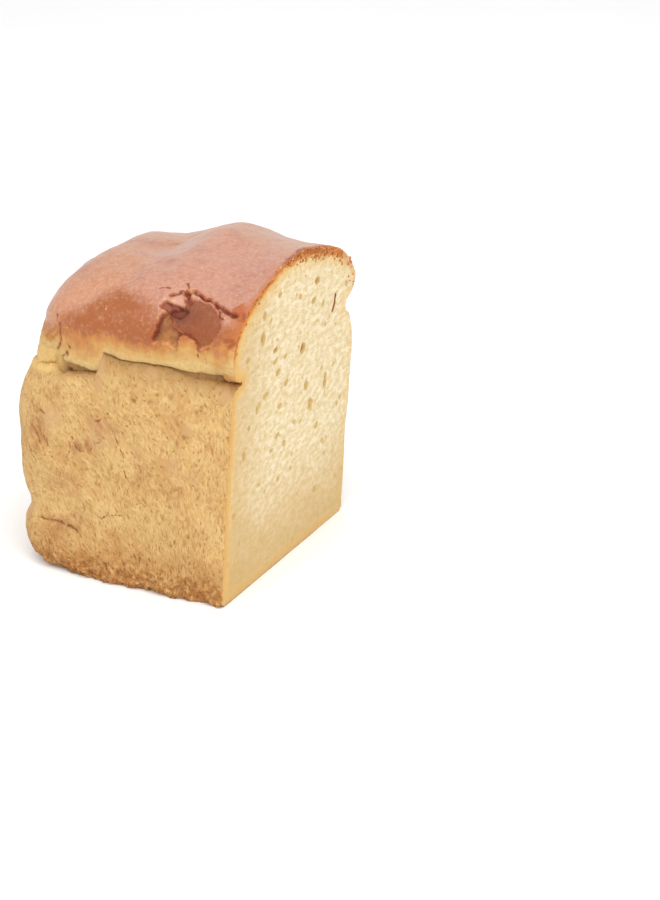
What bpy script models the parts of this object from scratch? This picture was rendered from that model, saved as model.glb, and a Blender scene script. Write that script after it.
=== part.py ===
# A brioche loaf baked in an open tin and cut across: the end that is left, standing on its base.
# Metres, +Z up. X runs along the tin, from the baked end to the cut. The origin is under the box's middle.

import bmesh
import bpy
import numpy as np

# Driving sizes of the loaf
LOAF_WIDTH = 0.106
KEPT_LENGTH = 0.0975
PINCH_HEIGHT = 0.0928
CROWN_RISE = 0.0384
CUT_LEAN = 0.062

# Walls, as the tin shaped them: round at the base, drawn in at the top where the tin's rim was
BASE_ROUND = 0.0025
END_BASE_ROUND = 0.014
CORNER_POWER = 8.0
SHOULDER_DROP = 0.007
END_SHOULDER_DROP = 0.033
NECK = 0.0008
END_NECK = 0.0074
PINCH_INSET = 0.0078
END_PINCH_INSET = 0.0094
WAIST_HEIGHT = 0.027
WAIST_REACH = 0.006
WAIST_DEPTH = 0.0028

# The lip that hangs over the side walls, and the crown above it
LIP_HEIGHT = 0.0122
RIM_INSET = 0.0005
END_RIM_INSET = 0.0148
RIM_POWER = 6.5
TOP_POWER = 1.95
SIDE_DOME_POWER = 1.81
END_DOME_POWER = 2.64

# The lip's lower edge along the front, as (run from the cut, rise): a notch, then a tongue that hangs lower
LIP_EDGE = [(0.0, 0.0), (0.0120, 0.0016), (0.0430, 0.0022), (0.0520, 0.0048), (0.0545, -0.0036),
            (0.0690, -0.0040), (0.0750, -0.0020), (0.0790, 0.0010)]
LIP_REACH = 0.012
BACK_EDGE_RISE = 0.0035
BACK_EASE = 0.46

# The groove under the lip is deepest at the cut
GROOVE_FILL = 0.0040
GROOVE_FILL_RUN = (0.002, 0.018)
GROOVE_REACH = 0.006

# Two rolls of dough grew together in this end: the crease between them, and how each stands
CREASE_X = -0.0448
CREASE_SLANT = -0.46
CREASE_WIDTH = 0.0173
CREASE_DEPTH = 0.0058
CREASE_FADE = (-0.050, 0.0)
CUT_ROLL_X = -0.0310
CUT_ROLL_REACH = 0.0124
CUT_ROLL_RISE = 0.0057

# Relief on the crust, in millimetres: (run from the cut along the front, climb over the skin from the pinch).
# A patch sinks or rises as a whole, and a tilted one sinks further along its run.
MM = 0.001
PATCHES = [
    {"name": "hollow", "rise": -2.6, "tilt": 0.0, "middle": 25.0,
     "outline": [(25.8, 27.8), (27.6, 26.3), (28.8, 21.3), (29.7, 17.0), (28.5, 14.3), (24.0, 16.4),
                 (21.7, 13.6), (20.2, 20.1), (23.1, 22.6), (24.9, 25.4)]},
    {"name": "plate", "rise": -1.2, "tilt": -0.09, "middle": 16.0,
     "outline": [(21.4, 34.4), (18.4, 35.2), (13.1, 33.4), (9.2, 30.0), (7.7, 27.4), (7.7, 23.6),
                 (8.9, 20.2), (10.1, 17.9), (13.6, 16.6), (16.9, 19.9), (20.5, 21.0), (24.9, 25.4),
                 (25.8, 27.8), (25.5, 29.9), (21.7, 31.4)]},
    {"name": "pocket", "rise": -2.2, "tilt": 0.0, "middle": 25.0,
     "outline": [(29.4, 28.3), (29.1, 30.8), (27.9, 32.0), (26.1, 31.0), (21.7, 31.4), (20.5, 30.0),
                 (22.3, 26.7), (25.5, 27.5), (27.3, 28.4)]},
    {"name": "lump at the cut", "rise": 0.7, "tilt": 0.0, "middle": 3.0,
     "outline": [(6.2, 33.1), (4.7, 35.7), (3.0, 36.8), (0.9, 32.9), (0.3, 29.2), (2.4, 29.4)]},
    {"name": "corner dent", "rise": -0.8, "tilt": 0.0, "middle": 86.0,
     "outline": [(81.8, 15.4), (85.4, 12.7), (91.8, 6.5), (89.3, 4.8), (86.4, 3.7), (82.3, 10.2)]},
]
TORN_EDGE = 0.8
SPLITS = [
    {"path": [(31.7, 37.4), (29.1, 37.6)], "width": 0.7, "rise": -0.6},
    {"path": [(27.6, 34.5), (25.5, 36.1), (24.8, 37.9), (23.4, 37.7)], "width": 0.8, "rise": -1.2},
    {"path": [(23.4, 37.7), (22.0, 35.0), (21.1, 33.0)], "width": 1.4, "rise": -2.2},
    {"path": [(23.4, 39.4), (24.0, 41.6)], "width": 0.7, "rise": -0.6},
    {"path": [(21.4, 37.8), (18.1, 36.6), (15.7, 35.9)], "width": 1.1, "rise": -2.0},
    {"path": [(15.7, 35.9), (12.5, 34.3)], "width": 0.8, "rise": -1.2},
    {"path": [(12.5, 34.3), (10.4, 33.2), (6.8, 31.6), (3.3, 31.2)], "width": 1.0, "rise": -1.8},
    {"path": [(10.4, 32.5), (9.8, 30.7), (7.4, 27.4)], "width": 0.8, "rise": -1.2},
    {"path": [(21.4, 21.1), (18.1, 20.5), (15.7, 19.0), (13.9, 16.5), (14.2, 11.1)],
     "width": 0.9, "rise": -1.1},
    {"path": [(19.6, 18.8), (20.4, 14.2), (23.6, 12.6)], "width": 1.3, "rise": 0.8},
    {"path": [(29.0, 13.0), (24.4, 14.6)], "width": 1.2, "rise": 0.7},
    {"path": [(84.3, 19.1), (84.0, 18.4)], "width": 1.1, "rise": -1.3},
    {"path": [(81.3, 16.3), (79.7, 9.0), (80.2, 0.0), (82.3, -4.0)], "width": 1.0, "rise": -1.4},
    {"path": [(78.7, -5.0), (73.5, -3.4)], "width": 1.8, "rise": -1.6},
    {"path": [(92.0, -12.5), (86.0, -15.0)], "width": 1.3, "rise": -0.9},
    {"path": [(91.3, -25.7), (86.9, -25.9), (79.2, -29.3)], "width": 1.5, "rise": -0.9},
    {"path": [(63.9, -42.8), (54.9, -38.4)], "width": 1.2, "rise": -0.5},
    {"path": [(85.9, -75.9), (75.6, -75.4), (66.4, -78.8)], "width": 1.5, "rise": -0.9},
]

# Unevenness of the dough: (size of the lumps, how far they stand, seed)
LUMPS = [(0.030, 0.0009, 11), (0.012, 0.0004, 12), (0.006, 0.00018, 13)]
LIP_WAVES = [(0.024, 0.0008, 21), (0.010, 0.0004, 22)]
WAVES_PER_LUMP = 14
WAVE_SPREAD = (0.7, 1.4)
WAVE_SHARE = 0.22

# Mesh density before it is thinned
STEPS_ROUND = {"side": 76, "end": 120}
ROWS = {"base": 6, "wall": 50, "shoulder": 12, "neck": 4, "lip": 14, "dome": 76}
KEPT_TRIANGLES = 9600
FLAT_WITHIN = 0.0003
CORNER_TURN = (0.25, 0.95)
CUT_MARGIN = 0.005

HALF_WIDTH = LOAF_WIDTH / 2
END_CENTRE_X = HALF_WIDTH - KEPT_LENGTH
RIM_HEIGHT = PINCH_HEIGHT + LIP_HEIGHT
PINCH_ROW = ROWS["base"] + ROWS["wall"] + ROWS["shoulder"] + ROWS["neck"] - 1


def clear_scene():
    for obj in list(bpy.data.objects):
        bpy.data.objects.remove(obj)


def smooth(low, high, value):
    t = np.clip((value - low) / (high - low), 0.0, 1.0)
    return t * t * (3.0 - 2.0 * t)


def bell(distance, width):
    return np.exp(-((distance / width) ** 2))


def quarter(count, last):
    """A quarter turn in steps, as (sine, 1 - cosine)."""
    angle = np.linspace(0.0, np.pi / 2, count, endpoint=last)
    return np.sin(angle), 1.0 - np.cos(angle)


def superellipse(power, turns):
    """Unit outline of the baked end, from the front (-Y) round -X to the back (+Y)."""
    east = -np.sin(np.pi * turns)
    north = -np.cos(np.pi * turns)
    radius = (np.abs(east) ** power + np.abs(north) ** power) ** (-1.0 / power)
    return east * radius, north * radius


def even_turns(power, count):
    """Turns that space points evenly along that outline."""
    fine = np.linspace(0.0, 1.0, 4001)
    x, y = superellipse(power, fine)
    run = np.concatenate([[0.0], np.cumsum(np.hypot(np.diff(x), np.diff(y)))])
    return np.interp(np.linspace(0.0, run[-1], count), run, fine)


def ring(side_reach, end_reach, power, turns):
    """One row round the loaf: the front from the cut, the baked end, and the back to the cut."""
    x, y = superellipse(power, turns)
    straight = END_CENTRE_X * np.linspace(0.0, 1.0, STEPS_ROUND["side"], endpoint=False)
    front_y = np.full_like(straight, -side_reach)
    xs = np.concatenate([straight, END_CENTRE_X + end_reach * x, straight[::-1]])
    ys = np.concatenate([front_y, side_reach * y, -front_y])
    return xs, ys


def side_and_end_profiles():
    """Rows from the base to the rim, as (inset, height) in the middle of a side and of the end."""
    out, up = quarter(ROWS["base"], False)
    side = [np.stack([BASE_ROUND * (1.0 - out), BASE_ROUND * up], 1)]
    end = [np.stack([END_BASE_ROUND * (1.0 - out), END_BASE_ROUND * up], 1)]

    share = np.linspace(0.0, 1.0, ROWS["wall"], endpoint=False)
    side_z = BASE_ROUND + (PINCH_HEIGHT - SHOULDER_DROP - BASE_ROUND) * share
    end_z = END_BASE_ROUND + (PINCH_HEIGHT - END_SHOULDER_DROP - END_BASE_ROUND) * share
    side.append(np.stack([0.0 * share, side_z], 1))
    end.append(np.stack([WAIST_DEPTH * bell(end_z - WAIST_HEIGHT, WAIST_REACH), end_z], 1))

    up, into = quarter(ROWS["shoulder"], True)
    side_z = PINCH_HEIGHT - NECK - (SHOULDER_DROP - NECK) * (1.0 - up)
    end_z = PINCH_HEIGHT - END_NECK - (END_SHOULDER_DROP - END_NECK) * (1.0 - up)
    side.append(np.stack([PINCH_INSET * into, side_z], 1))
    end.append(np.stack([END_PINCH_INSET * into, end_z], 1))

    left = np.linspace(1.0, 0.0, ROWS["neck"] + 1)[1:]
    side.append(np.stack([PINCH_INSET + 0.0 * left, PINCH_HEIGHT - NECK * left], 1))
    end.append(np.stack([END_PINCH_INSET + 0.0 * left, PINCH_HEIGHT - END_NECK * left], 1))

    out, up = quarter(ROWS["lip"], False)
    side_inset = PINCH_INSET + (RIM_INSET - PINCH_INSET) * out
    side.append(np.stack([side_inset, PINCH_HEIGHT + LIP_HEIGHT * up], 1)[1:])
    share = np.linspace(0.0, 1.0, ROWS["lip"], endpoint=False)
    end_inset = END_PINCH_INSET + (END_RIM_INSET - END_PINCH_INSET) * share
    end.append(np.stack([end_inset, PINCH_HEIGHT + LIP_HEIGHT * share], 1)[1:])
    return np.concatenate(side), np.concatenate(end)


def crown_height(x, y):
    """Height of the crown above the pinch along its top, with the crease and the higher roll."""
    off = x - CREASE_X - CREASE_SLANT * y
    height = CROWN_RISE + CUT_ROLL_RISE * bell(x - CUT_ROLL_X, CUT_ROLL_REACH)
    return height - CREASE_DEPTH * bell(off, CREASE_WIDTH) * smooth(*CREASE_FADE, y)


def plain_grid():
    """The crust without relief, as rows of points, from the base's edge to the ridge."""
    turns = even_turns(CORNER_POWER, STEPS_ROUND["end"])
    unit_x, unit_y = superellipse(CORNER_POWER, turns)
    sides = np.zeros(STEPS_ROUND["side"])
    corners = smooth(*CORNER_TURN, -unit_x)
    corners = np.where(unit_y > 0.0, BACK_EASE + (1.0 - BACK_EASE) * corners, corners)
    endward = np.concatenate([sides, corners, sides + BACK_EASE])
    rows = []
    for (side_inset, side_z), (end_inset, end_z) in zip(*side_and_end_profiles()):
        squareness = smooth(PINCH_HEIGHT, PINCH_HEIGHT - END_SHOULDER_DROP, side_z)
        power = RIM_POWER + (CORNER_POWER - RIM_POWER) * squareness
        x, y = ring(HALF_WIDTH - side_inset, HALF_WIDTH - end_inset, power, turns)
        rows.append(np.stack([x, y, side_z + (end_z - side_z) * endward], 1))
    for angle in np.linspace(0.0, np.pi / 2, ROWS["dome"], endpoint=False):
        side_share = np.cos(angle) ** (2.0 / SIDE_DOME_POWER)
        end_share = np.cos(angle) ** (2.0 / END_DOME_POWER)
        lift = np.sin(angle) ** (2.0 / SIDE_DOME_POWER)
        power = TOP_POWER + (RIM_POWER - TOP_POWER) * side_share ** 1.5
        side_reach = (HALF_WIDTH - RIM_INSET) * side_share
        end_reach = (HALF_WIDTH - END_RIM_INSET) * end_share
        x, y = ring(side_reach, end_reach, power, turns)
        rows.append(np.stack([x, y, RIM_HEIGHT + (crown_height(x, y) - LIP_HEIGHT) * lift], 1))
    return np.array(rows)


def skin_chart(grid):
    """Where each point lies on the skin: its run from the cut along the wall and its climb from the pinch."""
    wall = grid[ROWS["base"] + 1]
    run = np.concatenate([[0.0], np.cumsum(np.linalg.norm(np.diff(wall, axis=0), axis=1))])
    steps = np.linalg.norm(np.diff(grid, axis=0), axis=2)
    climb = np.concatenate([np.zeros((1, grid.shape[1])), np.cumsum(steps, 0)])
    return np.array([np.broadcast_to(run, climb.shape), climb - climb[PINCH_ROW]])


def lumps(points, size, seed):
    """Smooth random relief between about -1 and 1, with lumps of the given size."""
    random = np.random.default_rng(seed)
    total = 0.0
    for _ in range(WAVES_PER_LUMP):
        direction = random.normal(size=3)
        direction *= np.pi / (size * random.uniform(*WAVE_SPREAD) * np.linalg.norm(direction))
        total = total + np.sin(points @ direction + random.uniform(0.0, 2.0 * np.pi))
    return total * WAVE_SHARE


def path_distance(run, climb, path, closed=False):
    """Distance of each point of the skin to a path; within a closed one it is negative."""
    nearest = np.full(run.shape, np.inf)
    inside = np.zeros(run.shape, bool)
    corners = path + path[:1] if closed else path
    for (x0, y0), (x1, y1) in zip(corners, corners[1:]):
        along_x, along_y = x1 - x0, y1 - y0
        share = ((run - x0) * along_x + (climb - y0) * along_y) / (along_x ** 2 + along_y ** 2)
        share = np.clip(share, 0.0, 1.0)
        nearest = np.minimum(nearest, np.hypot(run - x0 - share * along_x, climb - y0 - share * along_y))
        crosses = (y0 > climb) != (y1 > climb)
        inside ^= crosses & (run < x0 + along_x * (climb - y0) / (along_y or 1.0))
    return np.where(inside, -nearest, nearest) if closed else nearest


def relief(grid):
    """How far the skin stands out of the plain form: lumps, the torn crust, splits and folds."""
    run, climb = skin_chart(grid) / MM
    height = sum(stand * lumps(grid, size, seed) for size, stand, seed in LUMPS) / MM
    for patch in PATCHES:
        rise = patch["rise"] + patch["tilt"] * (run - patch["middle"])
        outside = path_distance(run, climb, patch["outline"], closed=True)
        height += rise * smooth(TORN_EDGE, -TORN_EDGE, outside)
    for split in SPLITS:
        height += split["rise"] * bell(path_distance(run, climb, split["path"]), split["width"])
    height *= MM
    return height * smooth(0.0, END_BASE_ROUND, grid[..., 2])


def lip_waves(grid):
    """How far the lip's lower edge and what lies just above and below it are shifted up."""
    run, climb = skin_chart(grid)
    waves = sum(stand * lumps(grid[PINCH_ROW], size, seed) for size, stand, seed in LIP_WAVES)
    edge = np.interp(run, *zip(*LIP_EDGE))
    back = BACK_EDGE_RISE * smooth(0.0, HALF_WIDTH, grid[PINCH_ROW, :, 1])
    return (waves + edge + back) * bell(climb, LIP_REACH)


def groove_fill(grid):
    """How far the groove under the lip is filled away from the cut."""
    run, climb = skin_chart(grid)
    from_cut = np.minimum(run, run[:, ::-1])
    return GROOVE_FILL * smooth(*GROOVE_FILL_RUN, from_cut) * bell(climb, GROOVE_REACH)


def loaf_grid():
    """The whole crust as rows of points, with its relief and the lean of the cut."""
    grid = plain_grid()
    outward = np.cross(np.gradient(grid, axis=0), np.gradient(grid, axis=1))
    outward /= np.linalg.norm(outward, axis=2, keepdims=True)
    outward[..., 0] *= smooth(0.0, CUT_MARGIN, -grid[..., 0])
    level = outward[..., :2] / np.linalg.norm(outward[..., :2], axis=2, keepdims=True)
    shift = lip_waves(grid)
    fill = groove_fill(grid)
    grid = grid + outward * relief(grid)[..., None]
    grid[..., :2] += level * fill[..., None]
    grid[..., 2] += shift
    grid[..., 0] += CUT_LEAN * grid[..., 2] * smooth(END_CENTRE_X, 0.0, grid[..., 0])
    return grid


def grid_mesh(grid):
    """Faces between the rows, the flat base, the seam along the ridge and the flat cut."""
    shape = bmesh.new()
    rows = [[shape.verts.new(point) for point in row] for row in grid]
    for low, high in zip(rows, rows[1:]):
        for i in range(len(low) - 1):
            shape.faces.new((low[i], high[i], high[i + 1], low[i + 1]))
    top = rows[-1]
    last = len(top) - 1
    for i in range(len(top) // 2):
        kept = list(dict.fromkeys([top[i], top[last - i], top[last - i - 1], top[i + 1]]))
        if len(kept) > 2:
            shape.faces.new(kept)
    shape.faces.new(rows[0])
    shape.faces.new([row[0] for row in rows] + [row[-1] for row in rows][::-1])
    bmesh.ops.triangulate(shape, faces=[f for f in shape.faces if len(f.verts) > 4])
    bmesh.ops.recalc_face_normals(shape, faces=shape.faces)
    mesh = bpy.data.meshes.new("loaf")
    shape.to_mesh(mesh)
    shape.free()
    return mesh


def thinned(mesh):
    """The same mesh with fewer triangles, kept where the form needs them."""
    holder = bpy.data.objects.new("holder", mesh)
    bpy.context.collection.objects.link(holder)
    thin = holder.modifiers.new("Thin", "DECIMATE")
    thin.ratio = KEPT_TRIANGLES / sum(len(face.vertices) - 2 for face in mesh.polygons)
    result = bpy.data.meshes.new_from_object(holder.evaluated_get(bpy.context.evaluated_depsgraph_get()))
    bpy.data.objects.remove(holder)
    result.name = "loaf"
    return result


def flatten_and_stand(mesh):
    """Makes the base and the cut exactly flat, and stands the middle of the box over the origin."""
    points = np.empty(len(mesh.vertices) * 3)
    mesh.vertices.foreach_get("co", points)
    points = points.reshape(-1, 3)
    points[np.abs(points[:, 2]) < FLAT_WITHIN, 2] = 0.0
    cut_x = CUT_LEAN * points[:, 2]
    points[:, 0] = np.where(np.abs(points[:, 0] - cut_x) < FLAT_WITHIN, cut_x, points[:, 0])
    low, high = points.min(0), points.max(0)
    points -= [(low[0] + high[0]) / 2, (low[1] + high[1]) / 2, 0.0]
    mesh.vertices.foreach_set("co", points.ravel())
    mesh.update()


def crust_material():
    material = bpy.data.materials.new("baked_crust")
    material.use_nodes = True
    shader = material.node_tree.nodes["Principled BSDF"]
    shader.inputs["Base Color"].default_value = (0.55, 0.33, 0.14, 1.0)
    shader.inputs["Roughness"].default_value = 0.6
    shader.inputs["Metallic"].default_value = 0.0
    return material


def make_loaf():
    mesh = thinned(grid_mesh(loaf_grid()))
    flatten_and_stand(mesh)
    mesh.materials.append(crust_material())
    loaf = bpy.data.objects.new("loaf", mesh)
    bpy.context.collection.objects.link(loaf)
    return loaf


clear_scene()
make_loaf()
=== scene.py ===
# The standing end of a brioche loaf: browned crown, tin-baked walls, cut crumb and loose crumbs
import bpy
import numpy as np
from mathutils import Matrix, Vector


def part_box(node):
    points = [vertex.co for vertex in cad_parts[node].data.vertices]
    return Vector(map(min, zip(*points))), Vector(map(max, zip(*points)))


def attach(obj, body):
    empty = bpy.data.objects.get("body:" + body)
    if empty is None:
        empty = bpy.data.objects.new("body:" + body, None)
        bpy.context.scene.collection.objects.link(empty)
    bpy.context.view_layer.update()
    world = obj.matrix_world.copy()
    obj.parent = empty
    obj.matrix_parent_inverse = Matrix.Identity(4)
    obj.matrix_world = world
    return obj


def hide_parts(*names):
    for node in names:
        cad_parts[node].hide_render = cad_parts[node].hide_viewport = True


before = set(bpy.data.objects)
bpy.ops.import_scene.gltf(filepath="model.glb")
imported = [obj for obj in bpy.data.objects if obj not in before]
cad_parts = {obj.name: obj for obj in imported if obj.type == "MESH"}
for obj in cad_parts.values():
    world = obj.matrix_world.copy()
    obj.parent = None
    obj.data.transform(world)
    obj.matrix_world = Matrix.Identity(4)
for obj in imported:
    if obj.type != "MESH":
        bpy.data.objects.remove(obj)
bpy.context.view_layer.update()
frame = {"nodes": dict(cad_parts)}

mm = 0.001
print("frame loaded:", ", ".join(frame["nodes"]))


# The loaf's form, as the solid has it. x runs from the cut (0) to the baked end, the front is -y, z is up
form = {
    "width": 0.106, "keptLength": 0.0975, "pinchHeight": 0.0928, "crownRise": 0.0384, "cutLean": 0.062,
    "baseRound": 0.0025, "endBaseRound": 0.014, "cornerPower": 8.0,
    "shoulderDrop": 0.007, "endShoulderDrop": 0.033, "neck": 0.0008, "endNeck": 0.0074,
    "pinchInset": 0.0078, "endPinchInset": 0.0094,
    "waistHeight": 0.027, "waistReach": 0.006, "waistDepth": 0.0028,
    "lipHeight": 0.0122, "rimInset": 0.0005, "endRimInset": 0.0148,
    "rimPower": 6.5, "topPower": 1.95, "sideDomePower": 1.81, "endDomePower": 2.64,
    "lipReach": 0.012, "backEdgeRise": 0.0035, "backEase": 0.46,
    "grooveFill": 0.0040, "grooveFillRun": (0.002, 0.018), "grooveReach": 0.006,
    "creaseX": -0.0448, "creaseSlant": -0.46, "creaseWidth": 0.0173, "creaseDepth": 0.0058,
    "creaseFade": (-0.050, 0.0), "cutRollX": -0.0310, "cutRollReach": 0.0124, "cutRollRise": 0.0057,
    "cornerTurn": (0.25, 0.95), "cutMargin": 0.005,
}
# the lip's lower edge along the front, in mm: (run from the cut, rise)
lipEdge = [(0.0, 0.0), (12.0, 1.6), (43.0, 2.2), (52.0, 4.8),
           (54.5, -3.6), (69.0, -4.0), (75.0, -2.0), (79.0, 1.0)]

# Points along each stretch: finer on the front, where the torn crust and most marks lie
steps = {"front": 135, "back": 68, "base": 6, "wall": 128, "shoulder": 16, "neck": 4, "lip": 22}
endStep = {"fineShare": 0.075, "fine": 48, "coarse": 306}
domeStep = {"fineClimb": 28.0 * mm, "fine": 0.36 * mm, "coarse": 48}
traced = 4001        # points that a curve is measured with, before its own are spaced along it

halfWidth = form["width"] / 2
endCentreX = halfWidth - form["keptLength"]
rimHeight = form["pinchHeight"] + form["lipHeight"]
pinchRow = steps["base"] + steps["wall"] + steps["shoulder"] + steps["neck"] - 1


def smooth(low, high, value):
    t = np.clip((value - low) / (high - low), 0.0, 1.0)
    return t * t * (3.0 - 2.0 * t)


def bell(distance, width):
    return np.exp(-((distance / width) ** 2))


# a quarter turn in steps, as (sine, 1 - cosine)
def quarter(count, last):
    angle = np.linspace(0.0, np.pi / 2, count, endpoint=last)
    return np.sin(angle), 1.0 - np.cos(angle)


# unit outline of the baked end, from the front round the end to the back
def superellipse(power, turns):
    east, north = -np.sin(np.pi * turns), -np.cos(np.pi * turns)
    radius = (np.abs(east) ** power + np.abs(north) ** power) ** (-1.0 / power)
    return east * radius, north * radius


# turns that put points along that outline, close together at its front end
def endTurns(power):
    fine = np.linspace(0.0, 1.0, traced)
    x, y = superellipse(power, fine)
    run = np.concatenate([[0.0], np.cumsum(np.hypot(np.diff(x), np.diff(y)))])
    close = np.linspace(0.0, endStep["fineShare"], endStep["fine"], endpoint=False)
    wide = np.linspace(endStep["fineShare"], 1.0, endStep["coarse"])
    return np.interp(np.concatenate([close, wide]) * run[-1], run, fine)


# angles of the crown's rows, close together over its lower part
def domeAngles():
    fine = np.linspace(0.0, np.pi / 2, traced)
    power = 2.0 / form["sideDomePower"]
    across = halfWidth * np.cos(fine) ** power
    up = (form["crownRise"] - form["lipHeight"]) * np.sin(fine) ** power
    climb = np.concatenate([[0.0], np.cumsum(np.hypot(np.diff(across), np.diff(up)))])
    close = np.arange(0.0, domeStep["fineClimb"], domeStep["fine"])
    wide = np.linspace(domeStep["fineClimb"], climb[-1], domeStep["coarse"], endpoint=False)
    return np.interp(np.concatenate([close, wide]), climb, fine)


# one row round the loaf: the front from the cut, the baked end, and the back to the cut
def ring(sideReach, endReach, power, turns):
    x, y = superellipse(power, turns)
    front = endCentreX * np.linspace(0.0, 1.0, steps["front"], endpoint=False)
    back = endCentreX * np.linspace(0.0, 1.0, steps["back"], endpoint=False)[::-1]
    xs = np.concatenate([front, endCentreX + endReach * x, back])
    return xs, np.concatenate([0.0 * front - sideReach, sideReach * y, 0.0 * back + sideReach])


# rows from the base to the rim, as (inset, height) in the middle of a side and of the end
def sideAndEndProfiles():
    f = form
    out, up = quarter(steps["base"], False)
    side = [np.stack([f["baseRound"] * (1.0 - out), f["baseRound"] * up], 1)]
    end = [np.stack([f["endBaseRound"] * (1.0 - out), f["endBaseRound"] * up], 1)]
    share = np.linspace(0.0, 1.0, steps["wall"], endpoint=False)
    sideZ = f["baseRound"] + (f["pinchHeight"] - f["shoulderDrop"] - f["baseRound"]) * share
    endZ = f["endBaseRound"] + (f["pinchHeight"] - f["endShoulderDrop"] - f["endBaseRound"]) * share
    side.append(np.stack([0.0 * share, sideZ], 1))
    end.append(np.stack([f["waistDepth"] * bell(endZ - f["waistHeight"], f["waistReach"]), endZ], 1))
    up, into = quarter(steps["shoulder"], True)
    for rows, inset, neck, drop in ((side, f["pinchInset"], f["neck"], f["shoulderDrop"]),
                                    (end, f["endPinchInset"], f["endNeck"], f["endShoulderDrop"])):
        rows.append(np.stack([inset * into, f["pinchHeight"] - neck - (drop - neck) * (1.0 - up)], 1))
        left = np.linspace(1.0, 0.0, steps["neck"] + 1)[1:]
        rows.append(np.stack([inset + 0.0 * left, f["pinchHeight"] - neck * left], 1))
    out, up = quarter(steps["lip"], False)
    inset = f["pinchInset"] + (f["rimInset"] - f["pinchInset"]) * out
    side.append(np.stack([inset, f["pinchHeight"] + f["lipHeight"] * up], 1)[1:])
    share = np.linspace(0.0, 1.0, steps["lip"], endpoint=False)
    inset = f["endPinchInset"] + (f["endRimInset"] - f["endPinchInset"]) * share
    end.append(np.stack([inset, f["pinchHeight"] + f["lipHeight"] * share], 1)[1:])
    return np.concatenate(side), np.concatenate(end)


# height of the crown above the pinch along its top, with the crease and the higher roll
def crownHeight(x, y):
    off = x - form["creaseX"] - form["creaseSlant"] * y
    height = form["crownRise"] + form["cutRollRise"] * bell(x - form["cutRollX"], form["cutRollReach"])
    return height - form["creaseDepth"] * bell(off, form["creaseWidth"]) * smooth(*form["creaseFade"], y)


def plainGrid():
    f = form
    turns = endTurns(f["cornerPower"])
    unitX, unitY = superellipse(f["cornerPower"], turns)
    corners = smooth(*f["cornerTurn"], -unitX)
    corners = np.where(unitY > 0.0, f["backEase"] + (1.0 - f["backEase"]) * corners, corners)
    endward = np.concatenate([np.zeros(steps["front"]), corners, np.full(steps["back"], f["backEase"])])
    rows = []
    for (sideInset, sideZ), (endInset, endZ) in zip(*sideAndEndProfiles()):
        squareness = smooth(f["pinchHeight"], f["pinchHeight"] - f["endShoulderDrop"], sideZ)
        power = f["rimPower"] + (f["cornerPower"] - f["rimPower"]) * squareness
        x, y = ring(halfWidth - sideInset, halfWidth - endInset, power, turns)
        rows.append(np.stack([x, y, sideZ + (endZ - sideZ) * endward], 1))
    for angle in domeAngles():
        sideShare = np.cos(angle) ** (2.0 / f["sideDomePower"])
        endShare = np.cos(angle) ** (2.0 / f["endDomePower"])
        lift = np.sin(angle) ** (2.0 / f["sideDomePower"])
        power = f["topPower"] + (f["rimPower"] - f["topPower"]) * sideShare ** 1.5
        reach = (halfWidth - f["rimInset"]) * sideShare, (halfWidth - f["endRimInset"]) * endShare
        x, y = ring(*reach, power, turns)
        rows.append(np.stack([x, y, rimHeight + (crownHeight(x, y) - f["lipHeight"]) * lift], 1))
    return np.array(rows)


# where each point lies on the skin, in mm: its run from the cut along the wall, and its climb from the pinch
def skinChart(grid):
    wall = grid[steps["base"] + 1]
    run = np.concatenate([[0.0], np.cumsum(np.linalg.norm(np.diff(wall, axis=0), axis=1))])
    rises = np.linalg.norm(np.diff(grid, axis=0), axis=2)
    climb = np.concatenate([np.zeros((1, grid.shape[1])), np.cumsum(rises, 0)])
    return np.broadcast_to(run, climb.shape) / mm, (climb - climb[pinchRow]) / mm


lumpWaves = 14
hashStep = np.uint64(11400714819323198485)        # 2 ** 64 divided by the golden ratio


# smooth random relief between about -1 and 1, with lumps of the given size
def lumps(points, size, seed):
    random = np.random.default_rng(seed)
    total = 0.0
    for _ in range(lumpWaves):
        direction = random.normal(size=3)
        direction *= np.pi / (size * random.uniform(0.7, 1.4) * np.linalg.norm(direction))
        total = total + np.sin(points @ direction + random.uniform(0.0, 2.0 * np.pi))
    return total * 0.22


# a repeatable random number from 0 to 1 for each cell of a lattice
def cellRandom(cells, seed):
    mixed = np.full(cells.shape[:-1], seed * 7919 + 17, np.uint64)
    for axis in range(cells.shape[-1]):
        mixed = (mixed ^ cells[..., axis].astype(np.int64).astype(np.uint64)) * hashStep
        mixed ^= mixed >> np.uint64(29)
    return (mixed >> np.uint64(11)).astype(float) / 2.0 ** 53


# rough random relief between about -1 and 1, over two or three axes
def grit(points, size, seed, octaves=3):
    total, most = 0.0, 0.0
    for octave in range(octaves):
        place = points / size * 2.0 ** octave
        cell = np.floor(place)
        share = smooth(0.0, 1.0, place - cell)
        value = 0.0
        for corner in np.ndindex(*(2,) * points.shape[-1]):
            weight = np.prod(np.where(np.array(corner) > 0, share, 1.0 - share), axis=-1)
            value = value + weight * cellRandom(cell + np.array(corner), seed + octave)
        total = total + (2.0 * value - 1.0) * 0.6 ** octave
        most += 0.6 ** octave
    return total / most * 1.6


# the cells around each point of a jittered lattice, with how far the point is from each one's centre
def nearCells(across, up, seed):
    for stepU in (-1, 0, 1):
        for stepV in (-1, 0, 1):
            cell = np.stack([np.floor(across) + stepU, np.floor(up) + stepV], -1)
            awayU = across - cell[..., 0] - cellRandom(cell, seed)
            awayV = up - cell[..., 1] - cellRandom(cell, seed + 1)
            yield cell, np.hypot(awayU, awayV)


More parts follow.
